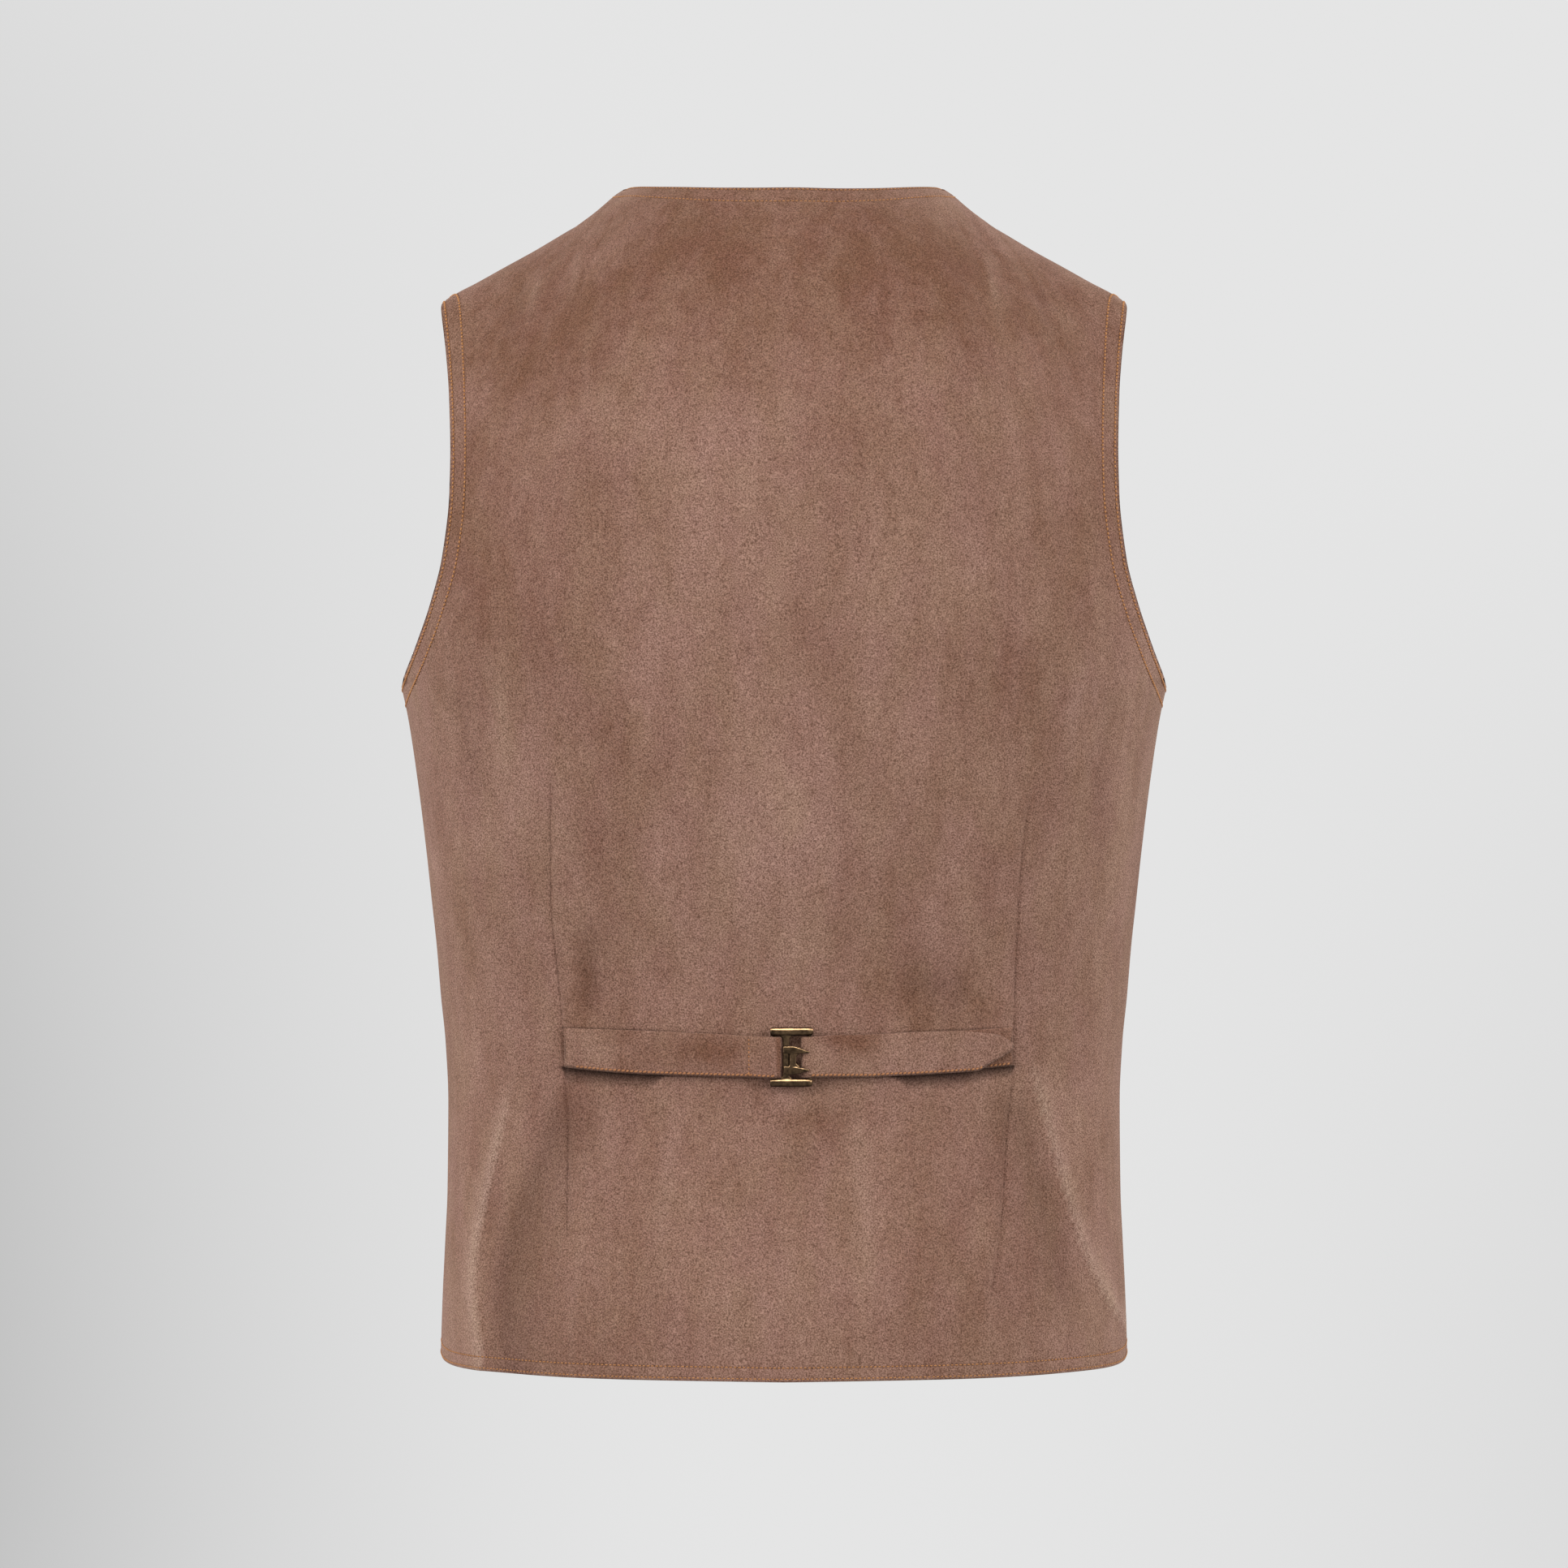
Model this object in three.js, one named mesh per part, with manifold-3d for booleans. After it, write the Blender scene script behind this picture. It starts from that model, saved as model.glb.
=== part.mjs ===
// A waistcoat in brown suede-finish cloth, filled out as if worn, with a cinch belt across the back.
// Millimetres, +Z up. The back faces +Y, the front faces -Y and +X is the wearer's left.
// The origin is midway between the shoulders: Y = 0 is the plane of the side and shoulder seams.
import * as THREE from "three";
import Module from "manifold-3d";
import { mergeVertices } from "three/addons/utils/BufferGeometryUtils.js";

const wasm = await Module();
wasm.setup();

// Driving dimensions
const CLOTH = 1.8; // thickness of the body panels
const SEAM_HALF_GAP = 0.15; // each panel stops this far from its seam plane
const SQUARENESS = 0.033; // how much fuller than an ellipse each level section is
const ARMPIT_Z = -241;
const HEM_Z = -583;
const NECK_HALF_WIDTH = 78;
const NECK_BACK_DEPTH = 62;
const NECK_BACK_Z = 6.2;
const NECK_FRONT_Z = -8;
const NECK_POINT_Z = 10.8;
const UNDERLAP_DEPTH = 2.5; // how far inside the left front the right front lies
const UNDERLAP_FADE = [15, 62]; // half widths between which it rises to its own level
const NECK_SHARE = 0.5; // share of the columns that ends on the neckline
const STRAP = 1.2; // thickness of a strap layer
const BUTTON_RADIUS = 7.5;
const BUTTON_ZS = [-242, -311, -380, -449, -518];
const NUDGE = 1e-4; // keeps a share off the centre line
const WELD = 1e-4; // points closer than this are joined

// Half width of the body at each height
const HALF_WIDTHS = [
  [-583, 173.5], [-545, 172.2], [-520, 171.0], [-495, 169.9], [-450, 169.5], [-421, 170.8], [-397, 173.2],
  [-372, 175.3], [-348, 177.9], [-323, 180.6], [-290, 184.7], [-257.5, 189.6], [-241, 193.1],
];
// Depth of the back and of the front from the seam plane at each height
const BACK_DEPTHS = [
  [-583, 112], [-545, 110], [-495, 104], [-450, 99], [-397, 99.5], [-348, 106], [-290, 114], [-241, 118],
];
const FRONT_DEPTHS = [
  [-583, 112], [-545, 114], [-495, 115], [-450, 115], [-397, 116], [-348, 119], [-290, 123], [-241, 124],
];
const FULL_DEPTH = 118;
// Half width at each height of the armhole edges
const BACK_ARMHOLE = [
  [-241, 193.1], [-233.3, 189.3], [-225.3, 185.4], [-217.4, 182.1], [-201.5, 176.3], [-177.5, 169.9],
  [-145.4, 166.5], [-129.2, 166.3], [-96.5, 167.6], [-79.8, 169.1], [-61.8, 171.3], [-51, 172.8],
];
const FRONT_ARMHOLE = [
  [-241, 193.1], [-233, 187.5], [-222, 181], [-202, 172.5], [-175, 164], [-145, 159], [-115, 158.5],
  [-88, 161.5], [-68, 166.5], [-56, 171.2], [-51, 172.8],
];
// The front neck edge, then the closing edge down to the hem: x of the wearer's left front
const FRONT_EDGE = [
  [-600, 52], [-590, 40], [-575, 22], [-560, 8], [-545, -3], [-530, -9], [-512, -12], [-260, -12],
  [-241, -12], [-222, -8], [-200, 3], [-162, 22], [-118, 42], [-75, 58], [-32, 70], [-5, 76], [10.8, 78],
];
// The shoulder seam from the neck point to the tip: x and z
const SHOULDER = [
  [78, 10.8], [81, 10.1], [85.1, 6.9], [89.2, 2.7], [94.1, -1.5], [97.4, -4.0], [110.9, -11.9],
  [124.8, -20.2], [140, -28.6], [154.4, -36.7], [166.3, -43.0], [170.4, -45.9], [172.3, -48.6],
  [172.8, -51],
];
// Centre lines of the two fisheye darts: height and x
const DART_LEFT = [
  [-600, 107], [-511.8, 107], [-468.8, 106.8], [-430, 108], [-410.9, 109.2], [-389.6, 111.1],
  [-343.9, 115], [-284.7, 114.8], [-241, 114],
];
const DART_RIGHT = [
  [-600, -96], [-541.8, -102], [-507.4, -107], [-464.1, -110], [-431.4, -112.8], [-376, -114.3],
  [-343.9, -115.8], [-307.9, -119.3], [-293.1, -122], [-241, -124],
];
const DART_ENDS = { left: [-514, -286], right: [-546, -296] };
const DART_DEPTH = 0.9;
const DART_SPREAD = 2.2;
// Soft ridges in the cloth above the hem: height and x along each crest
const RIDGE_LEFT = [
  [-583, 153], [-571, 153.5], [-553.5, 155.2], [-534, 154], [-507.4, 150.3], [-470.8, 143.3], [-440, 138],
];
const RIDGE_RIGHT = [
  [-583, -174], [-572.9, -172.8], [-553.2, -167.2], [-540.5, -160.9], [-523.9, -151.5], [-499.4, -144.4],
  [-467.9, -139.5], [-440, -137],
];
const RIDGE_HEIGHT = 2.6;
const RIDGE_SPREAD = 9;
const RIDGE_TOP = [-505, -452]; // heights between which the ridges run out
const SEAM_FADE = [2, 34]; // distances from the seam plane between which darts and ridges come in

const SUEDE = { color: 0x8a6a58, roughness: 0.95, metalness: 0 };
const BRASS = { color: 0x6b5a3c, roughness: 0.4, metalness: 0.9 };
const HORN = { color: 0x4a3527, roughness: 0.45, metalness: 0 };

// Small helpers
const lerp = (a, b, t) => a + (b - a) * t;
const clamp = (v, low, high) => Math.min(high, Math.max(low, v));
const add = (p, q, k = 1) => p.map((v, i) => v + q[i] * k);
const sub = (p, q) => p.map((v, i) => v - q[i]);
const cross = (p, q) => [p[1] * q[2] - p[2] * q[1], p[2] * q[0] - p[0] * q[2], p[0] * q[1] - p[1] * q[0]];
const unit = (p) => p.map((v) => v / Math.hypot(...p));

function smooth(low, high, v) {
  const t = clamp((v - low) / (high - low), 0, 1);
  return t * t * (3 - 2 * t);
}

// A smooth curve through a table of [key, value] rows with rising keys
function curve(rows) {
  const slopes = rows.map((row, i) => {
    if (i === 0 || i === rows.length - 1) {
      const [a, b] = i === 0 ? [rows[0], rows[1]] : [rows[i - 1], rows[i]];
      return (b[1] - a[1]) / (b[0] - a[0]);
    }
    const before = (row[1] - rows[i - 1][1]) / (row[0] - rows[i - 1][0]);
    const after = (rows[i + 1][1] - row[1]) / (rows[i + 1][0] - row[0]);
    return before * after <= 0 ? 0 : (2 * before * after) / (before + after);
  });
  return (key) => {
    const k = clamp(key, rows[0][0], rows[rows.length - 1][0]);
    let i = 0;
    while (i < rows.length - 2 && k > rows[i + 1][0]) i += 1;
    const step = rows[i + 1][0] - rows[i][0];
    const t = (k - rows[i][0]) / step;
    const start = rows[i][1] * (1 + 2 * t) * (1 - t) ** 2 + rows[i + 1][1] * t * t * (3 - 2 * t);
    return start + step * (slopes[i] * t * (1 - t) ** 2 - slopes[i + 1] * t * t * (1 - t));
  };
}

// The tables as smooth curves
const halfWidth = curve(HALF_WIDTHS);
const armholes = { back: curve(BACK_ARMHOLE), front: curve(FRONT_ARMHOLE) };
const depths = { back: curve(BACK_DEPTHS), front: curve(FRONT_DEPTHS) };
const frontEdge = curve(FRONT_EDGE);
const darts = { left: curve(DART_LEFT), right: curve(DART_RIGHT) };
const ridges = [curve(RIDGE_LEFT), curve(RIDGE_RIGHT)];

// The level section of the body at a height, from the centre (w = 0) to the side (w = 1)
function section(side, w, z) {
  const angle = (w * Math.PI) / 2;
  const full = 1 + SQUARENESS * Math.sin(2 * angle) ** 2;
  const y = depths[side](z) * Math.cos(angle) * full;
  return [halfWidth(z) * Math.sin(angle) * full, side === "back" ? y : -y, z];
}

// The w at which the section reaches a given half width
function sectionShare(x, z) {
  let low = 0;
  let high = 1;
  for (let i = 0; i < 30; i += 1) {
    const mid = (low + high) / 2;
    if (section("back", mid, z)[0] < x) low = mid;
    else high = mid;
  }
  return (low + high) / 2;
}

// The upper end of each column: the neckline, then the shoulder seam
const shoulderRun = SHOULDER.reduce((run, row, i) => {
  if (i === 0) return [0];
  const [x, z] = SHOULDER[i - 1];
  return [...run, run[i - 1] + Math.hypot(row[0] - x, row[1] - z)];
}, []);
const shoulderX = curve(SHOULDER.map((row, i) => [shoulderRun[i], row[0]]));
const shoulderZ = curve(SHOULDER.map((row, i) => [shoulderRun[i], row[1]]));

function topPoint(side, w) {
  if (w >= NECK_SHARE) {
    const run = ((w - NECK_SHARE) / (1 - NECK_SHARE)) * shoulderRun[shoulderRun.length - 1];
    return [shoulderX(run), 0, shoulderZ(run)];
  }
  const angle = (w / NECK_SHARE) * (Math.PI / 2);
  const low = side === "back" ? NECK_BACK_Z : NECK_FRONT_Z;
  const z = lerp(low, NECK_POINT_Z, Math.sin(angle) ** 2.6);
  const y = NECK_BACK_DEPTH * Math.cos(angle);
  return [NECK_HALF_WIDTH * Math.sin(angle), side === "back" ? y : -y, z];
}

// The direction in which a column arrives at its upper end. It lies in the surface, so that the back and the
// front meet smoothly over the shoulder seam, and it turns evenly from the centre to the shoulder tip.
function topDirection(side, w) {
  const facing = side === "back" ? -1 : 1;
  if (w >= NECK_SHARE) {
    const inward = 0.8 * (1 - (w - NECK_SHARE) / (1 - NECK_SHARE));
    return unit([-0.82 * inward, facing, 0.57 * inward]);
  }
  const angle = (w / NECK_SHARE) * (Math.PI / 2);
  const lean = lerp(0.62, 0.82, Math.sin(angle) ** 2);
  const rise = lerp(0.78, 0.57, Math.sin(angle) ** 2);
  const along = 0.5556 * smooth(0, NECK_SHARE, w);
  return unit([
    -lean * Math.sin(angle) * (1 - along) + Math.cos(angle) * along,
    (lean * Math.cos(angle) * (1 - along) + Math.sin(angle) * along) * facing,
    rise * (1 - along),
  ]);
}

// The body above the armpit: each column is one Bezier curve from the armpit level to its upper end
function upper(side, w, v) {
  const start = section(side, w, ARMPIT_Z);
  const below = section(side, w, ARMPIT_Z - 14);
  const rise = unit(sub(start, below));
  const end = topPoint(side, w);
  const reach = lerp(108, 120, w);
  const pull = side === "back" ? lerp(92, 52, smooth(0.2, 0.8, w)) : lerp(70, 60, smooth(0.2, 0.8, w));
  const first = add(start, rise, reach);
  const second = add(end, topDirection(side, w), -pull);
  const weights = [(1 - v) ** 3, 3 * v * (1 - v) ** 2, 3 * v * v * (1 - v), v ** 3];
  const pulls = [start, first, second, end];
  return [0, 1, 2].map((i) => pulls.reduce((sum, point, k) => sum + weights[k] * point[i], 0));
}

// The column share at which a row of the upper body meets an edge given as x by height
function edgeShare(side, v, edge, low, high) {
  let a = low;
  let b = high;
  for (let i = 0; i < 40; i += 1) {
    const mid = (a + b) / 2;
    const p = upper(side, Math.abs(mid), v);
    if (p[0] * Math.sign(mid || 1) < edge(p[2])) a = mid;
    else b = mid;
  }
  return (a + b) / 2;
}

// A point of the body by column share (negative on the wearer's right), with h from -1 at the hem through
// 0 at the armpit level to 1 at the upper end
function bodyPoint(side, w, h, hem) {
  const share = Math.abs(w);
  const p = h <= 0 ? section(side, share, lerp(ARMPIT_Z, hem, -h)) : upper(side, share, h);
  return [p[0] * (w < 0 ? -1 : 1), p[1], p[2]];
}

function bodyNormal(side, w, h, hem) {
  const dw = 0.004;
  const dh = 0.004;
  const seam = Math.abs(w) > 1 - dw;
  const across = sub(bodyPoint(side, seam ? w : w + dw, h, hem), bodyPoint(side, w - dw, h, hem));
  const backwards = seam && w < 0 ? sub(bodyPoint(side, w + dw, h, hem), bodyPoint(side, w, h, hem)) : across;
  const low = h > 0 ? Math.max(h - dh, 0) : Math.max(h - dh, -1);
  const up = sub(bodyPoint(side, w, Math.min(low + dh, 1), hem), bodyPoint(side, w, low, hem));
  const n = unit(cross(backwards, up));
  return side === "back" ? n.map((c) => -c) : n;
}

// How far the cloth stands out or sinks at a place of the back: the darts and the soft ridges
function backRelief(x, y, z) {
  const fadeSeam = smooth(...SEAM_FADE, y);
  let out = 0;
  for (const [name, line] of Object.entries(darts)) {
    const [low, high] = DART_ENDS[name];
    const alive = smooth(low - 6, low + 10, z) * (1 - smooth(high - 10, high + 6, z));
    const away = (x - line(z)) / (0.55 + 0.45 * (y / FULL_DEPTH));
    out -= DART_DEPTH * alive * Math.exp(-((away / DART_SPREAD) ** 2));
  }
  for (const line of ridges) {
    const alive = 1 - smooth(...RIDGE_TOP, z);
    const away = (x - line(z)) / (0.35 + 0.65 * (y / FULL_DEPTH));
    out += RIDGE_HEIGHT * alive * Math.exp(-((away / RIDGE_SPREAD) ** 2));
  }
  return out * fadeSeam;
}

// Hem heights
const backHemRise = curve([
  [0, 0.2], [0.18, 0.7], [0.36, 0.9], [0.5, 1.3], [0.58, 1.6], [0.7, 1.8], [0.8, 2.2], [0.88, 3.2],
  [0.94, 4.6], [1, 6.2],
]);
const backHem = (w) => HEM_Z + backHemRise(Math.abs(w));
const FRONT_POINT = { share: 0.22, spread: 0.2, drop: 14 };
const SIDE_RISE = 6.2;
const CENTRE_DROP = 2;
const FRONT_HEM_DROP = 15; // how far the fronts' closing edges run below the back hem

function frontHem(w) {
  const point = FRONT_POINT.drop * Math.exp(-(((w - FRONT_POINT.share) / FRONT_POINT.spread) ** 2));
  return HEM_Z - CENTRE_DROP * (1 - w) - point + SIDE_RISE * smooth(0.7, 1, w);
}

// Rows of the panels, from -1 at the hem through 0 at the armpit level to 1 at the upper end
const UPPER_ROWS = [
  0.008, 0.02, 0.04, 0.07, 0.11, 0.16, 0.22, 0.28, 0.35, 0.42, 0.49, 0.56, 0.63, 0.7, 0.77, 0.84, 0.9,
  0.95, 1,
];
const LOWER_ROW_COUNT = 22;
const rowHeights = [
  ...Array.from({ length: LOWER_ROW_COUNT }, (_, i) => -1 + i / LOWER_ROW_COUNT),
  0,
  ...UPPER_ROWS,
];

// Column shares of the back, with three columns in each dart
const HALF_COLUMNS = [0, 0.09, 0.18, 0.27, 0.35, 0.418, 0.43, 0.442, 0.51, 0.59, 0.67, 0.75, 0.83, 0.91, 1];
const DART_SHARE = 0.43;
const backColumns = [...HALF_COLUMNS.slice(1).map((w) => -w).reverse(), ...HALF_COLUMNS];

// Moves a column share so that the dart columns follow the dart line
function followDart(w, z) {
  const line = w < 0 ? -darts.right(z) : darts.left(z);
  const share = Math.abs(w);
  const target = sectionShare(line, z);
  const moved = share < DART_SHARE
    ? (share / DART_SHARE) * target
    : target + ((share - DART_SHARE) / (1 - DART_SHARE)) * (1 - target);
  return Math.sign(w) * moved;
}

// Draws the outer columns in to an edge and leaves those near the centre where they are
function squeeze(w, reach) {
  return w - Math.sign(w) * (1 - reach) * Math.abs(w) ** 3;
}

function backGrids() {
  const outer = [];
  const inner = [];
  for (const h of rowHeights) {
    const reach = h <= 0 ? 1 : edgeShare("back", h, armholes.back, 0.5, 1);
    const outerRow = [];
    const innerRow = [];
    for (const column of backColumns) {
      const z = lerp(ARMPIT_Z, HEM_Z, Math.max(-h, 0));
      const fading = smooth(0, 0.5, h);
      const w = squeeze(lerp(followDart(column, z), column, fading), reach);
      const hem = backHem(w);
      const p = bodyPoint("back", w, h, hem);
      const n = bodyNormal("back", w, h, hem);
      const onSeam = (h <= 0 && Math.abs(column) === 1) || (h === 1 && Math.abs(w) >= NECK_SHARE);
      const facing = onSeam ? unit([n[0], 0, n[2]]) : n;
      const out = backRelief(p[0], p[1], p[2]);
      const top = add(p, facing, out);
      const low = add(p, facing, out - CLOTH);
      top[1] = Math.max(top[1], SEAM_HALF_GAP);
      low[1] = Math.max(low[1], SEAM_HALF_GAP);
      outerRow.push(top);
      innerRow.push(low);
    }
    outer.push(outerRow);
    inner.push(innerRow);
  }
  return [outer, inner];
}

const FRONT_COLUMNS = [0, 0.05, 0.13, 0.23, 0.34, 0.45, 0.56, 0.67, 0.78, 0.89, 1];

// The share of a front's closing edge at a level of the lower body
function closingShare(z) {
  const x = frontEdge(z);
  return Math.sign(x) * sectionShare(Math.abs(x), z);
}

// The wearer's left front; the right one is its mirror, tucked under at the centre
function frontGrids(right) {
  const outer = [];
  const inner = [];
  for (const h of rowHeights) {
    const flat = lerp(ARMPIT_Z, HEM_Z - FRONT_HEM_DROP, Math.max(-h, 0));
    const start = h <= 0 ? closingShare(flat) : edgeShare("front", h, frontEdge, -0.2, NECK_SHARE);
    const reach = h <= 0 ? 1 : edgeShare("front", h, armholes.front, 0.5, 1);
    const outerRow = [];
    const innerRow = [];
    for (const column of FRONT_COLUMNS) {
      const first = h === 1 ? NECK_SHARE : start;
      const w = lerp(first, reach, column);
      const hem = frontHem(w);
      const p = bodyPoint("front", w, h, hem);
      const n = bodyNormal("front", w, h, hem);
      const onSeam = (h <= 0 && column === 1) || h === 1;
      const facing = onSeam ? unit([n[0], 0, n[2]]) : n;
      const tuck = right ? UNDERLAP_DEPTH * (1 - smooth(...UNDERLAP_FADE, p[0])) : 0;
      const pair = [add(p, facing, -tuck), add(p, facing, -tuck - CLOTH)];
      for (const q of pair) {
        q[1] = Math.min(q[1], -SEAM_HALF_GAP);
        if (right) q[0] = -q[0];
      }
      outerRow.push(pair[0]);
      innerRow.push(pair[1]);
    }
    outer.push(outerRow);
    inner.push(innerRow);
  }
  return [outer, inner];
}

// A closed wall between two grids of points
function wall([outer, inner]) {
  const rows = outer.length;
  const columns = outer[0].length;
  const points = [...outer.flat(), ...inner.flat()];
  const at = (layer, j, i) => layer * rows * columns + j * columns + i;
  const faces = [];
  const gap = (a, b) => Math.hypot(...sub(points[a], points[b]));
  const quad = (a, b, c, d) => {
    if (gap(a, c) <= gap(b, d)) faces.push([a, b, c], [a, c, d]);
    else faces.push([a, b, d], [b, c, d]);
  };
  for (let j = 0; j < rows - 1; j += 1) {
    for (let i = 0; i < columns - 1; i += 1) {
      quad(at(0, j, i), at(0, j, i + 1), at(0, j + 1, i + 1), at(0, j + 1, i));
      quad(at(1, j, i), at(1, j + 1, i), at(1, j + 1, i + 1), at(1, j, i + 1));
    }
    quad(at(0, j, 0), at(0, j + 1, 0), at(1, j + 1, 0), at(1, j, 0));
    quad(at(0, j, columns - 1), at(1, j, columns - 1), at(1, j + 1, columns - 1), at(0, j + 1, columns - 1));
  }
  for (let i = 0; i < columns - 1; i += 1) {
    quad(at(0, 0, i), at(1, 0, i), at(1, 0, i + 1), at(0, 0, i + 1));
    quad(at(0, rows - 1, i), at(0, rows - 1, i + 1), at(1, rows - 1, i + 1), at(1, rows - 1, i));
  }
  return solid(points, faces);
}

// A geometry from points and triangles, turned so that its faces point out
function solid(points, faces) {
  let volume = 0;
  for (const [a, b, c] of faces) {
    const n = cross(points[b], points[c]);
    volume += points[a][0] * n[0] + points[a][1] * n[1] + points[a][2] * n[2];
  }
  const geometry = new THREE.BufferGeometry();
  geometry.setAttribute("position", new THREE.Float32BufferAttribute(points.flat(), 3));
  geometry.setIndex(faces.flatMap(([a, b, c]) => (volume > 0 ? [a, b, c] : [a, c, b])));
  geometry.computeVertexNormals();
  return geometry;
}

// The row of the lower body at a height
const lowerShare = (z) => (z - ARMPIT_Z) / (ARMPIT_Z - HEM_Z);

// A place a distance off the outside of the back, by x and height
function offBack(x, z, out) {
  const w = Math.sign(x) * sectionShare(Math.abs(x), z);
  const h = lowerShare(z);
  return add(bodyPoint("back", w, h, HEM_Z), bodyNormal("back", w, h, HEM_Z), out);
}

// Cinch straps. Each row: x, distance of the layer's middle off the back, upper and lower edge height.
const UNDER = 1.0;
const OVER = 5.0;
const LEFT_STRAP = [
  [107.6, 1.3, -410.8, -430.2], [98, 1.2, -411.0, -430.5], [86, 1.6, -411.2, -430.9],
  [74, 2.2, -411.5, -431.5], [60, 2.6, -411.9, -432.1], [46, 2.8, -412.5, -432.7],
  [34, 2.9, -412.9, -433.2], [25, 3.2, -413.3, -433.7], [16, 4.1, -413.8, -434.2],
  [10, 4.9, -414.1, -434.5], [6, OVER, -414.2, -434.6], [3.6, OVER - 0.2, -414.3, -434.6],
  [2.6, OVER - 0.9, -414.3, -434.6], [2.3, 3.0, -414.3, -434.6], [2.6, UNDER + 0.9, -414.3, -434.6],
  [3.6, UNDER + 0.2, -414.3, -434.6], [6, UNDER, -414.2, -434.6], [10, UNDER, -414.1, -434.5],
  [18, UNDER, -413.8, -434.2],
];
const RIGHT_STRAP = [
  [-112.2, 1.3, -410.5, -429.8], [-104, 1.1, -411.0, -430.4], [-92, UNDER, -411.6, -431.2],
  [-76, UNDER, -412.2, -432.2], [-60, UNDER, -412.7, -433.0], [-44, UNDER, -413.2, -433.6],
  [-30, UNDER, -413.6, -434.0], [-18, UNDER, -414.0, -434.3], [-13, UNDER, -414.2, -434.4],
  [-10.6, UNDER + 0.2, -414.3, -434.4], [-9.4, UNDER + 0.9, -414.4, -434.4], [-9.0, 3.0, -414.4, -434.4],
  [-9.4, OVER - 0.9, -414.4, -434.4], [-10.6, OVER - 0.2, -414.3, -434.4], [-13, OVER, -414.2, -434.3],
  [-17, 4.9, -413.9, -434.2], [-23, 4.2, -413.5, -434.2], [-30, 3.5, -413.4, -434.3],
  [-41, 3.1, -413.3, -434.4], [-52, 3.2, -412.8, -433.9], [-64, 3.5, -412.2, -433.5],
  [-76, 3.8, -412.0, -432.9], [-86, 3.7, -412.0, -432.4], [-94, 3.4, -412.6, -431.9],
  [-99, 3.2, -413.2, -429.3], [-104, 3.1, -413.9, -426.3], [-109, 3.0, -416.6, -423.4],
  [-111.6, 3.0, -418.4, -421.6],
];

function strapGrids(rows) {
  const outer = [];
  const inner = [];
  rows.forEach(([x, out, top, bottom], k) => {
    const before = rows[Math.max(k - 1, 0)];
    const after = rows[Math.min(k + 1, rows.length - 1)];
    const run = [after[0] - before[0], after[1] - before[1]];
    const length = Math.hypot(...run);
    const side = [run[1] / length, -run[0] / length];
    const outerRow = [];
    const innerRow = [];
    for (const t of [0, 0.33, 0.67, 1]) {
      const z = lerp(top, bottom, t);
      outerRow.push(offBack(x + (side[0] * STRAP) / 2, z, out + (side[1] * STRAP) / 2));
      innerRow.push(offBack(x - (side[0] * STRAP) / 2, z, out - (side[1] * STRAP) / 2));
    }
    outer.push(outerRow);
    inner.push(innerRow);
  });
  return [outer, inner];
}

// A frame of reference standing on a place of the cloth: local x across, y up the garment, z off the cloth
function standOn(point, normal) {
  const away = unit(normal);
  const across = unit(cross([0, 0, 1], away));
  const up = cross(away, across);
  const matrix = new THREE.Matrix4().makeBasis(
    new THREE.Vector3(...across),
    new THREE.Vector3(...up),
    new THREE.Vector3(...away),
  );
  matrix.setPosition(...point);
  return matrix;
}

// Buckle, in its own frame: local x runs to the wearer's right, y up, z off the back
const BUCKLE_X = -4.1;
const BUCKLE_Z = -424.3;
const BUCKLE_WIDTH = 20;
const BUCKLE_HEIGHT = 28.5;
const BAR_LIFT = 2.15;
const BAR_DEPTH = 1.7;
const RAIL = 3.4; // upper and lower bar
const SIDE_BAR = 2.0;
const MIDDLE_BAR = { left: 5.3, right: 8.7 }; // distance from the frame's left edge
const BEVEL = 0.45;

function rectangle(path, x0, y0, x1, y1, r) {
  path.moveTo(x0 + r, y0);
  path.lineTo(x1 - r, y0);
  path.absarc(x1 - r, y0 + r, r, -Math.PI / 2, 0);
  path.lineTo(x1, y1 - r);
  path.absarc(x1 - r, y1 - r, r, 0, Math.PI / 2);
  path.lineTo(x0 + r, y1);
  path.absarc(x0 + r, y1 - r, r, Math.PI / 2, Math.PI);
  path.lineTo(x0, y0 + r);
  path.absarc(x0 + r, y0 + r, r, Math.PI, Math.PI * 1.5);
  return path;
}

function buckleFrame() {
  const w = BUCKLE_WIDTH / 2;
  const h = BUCKLE_HEIGHT / 2;
  const b = BEVEL;
  const shape = rectangle(new THREE.Shape(), -w + b, -h + b, w - b, h - b, 2);
  const windows = [
    [-w + SIDE_BAR, -w + MIDDLE_BAR.left],
    [-w + MIDDLE_BAR.right, w - SIDE_BAR],
  ];
  for (const [left, right] of windows) {
    shape.holes.push(rectangle(new THREE.Path(), left - b, -h + RAIL - b, right + b, h - RAIL + b, 0.7));
  }
  const geometry = new THREE.ExtrudeGeometry(shape, {
    depth: BAR_DEPTH - 2 * b,
    bevelEnabled: true,
    bevelThickness: b,
    bevelSize: b,
    bevelSegments: 2,
    curveSegments: 3,
  });
  geometry.translate(0, 0, BAR_LIFT + b);
  return geometry;
}

// A closed tube of sections, each a ring of points in the plane across the run
function loft(rings) {
  const count = rings[0].length;
  const points = rings.flat();
  const faces = [];
  for (let k = 0; k < rings.length - 1; k += 1) {
    for (let i = 0; i < count; i += 1) {
      const j = (i + 1) % count;
      const [a, b] = [k * count + i, k * count + j];
      faces.push([a, b, b + count], [a, b + count, a + count]);
    }
  }
  for (let i = 1; i < count - 1; i += 1) {
    faces.push([0, i + 1, i]);
    const last = (rings.length - 1) * count;
    faces.push([last, last + i, last + i + 1]);
  }
  return solid(points, faces);
}

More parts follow.
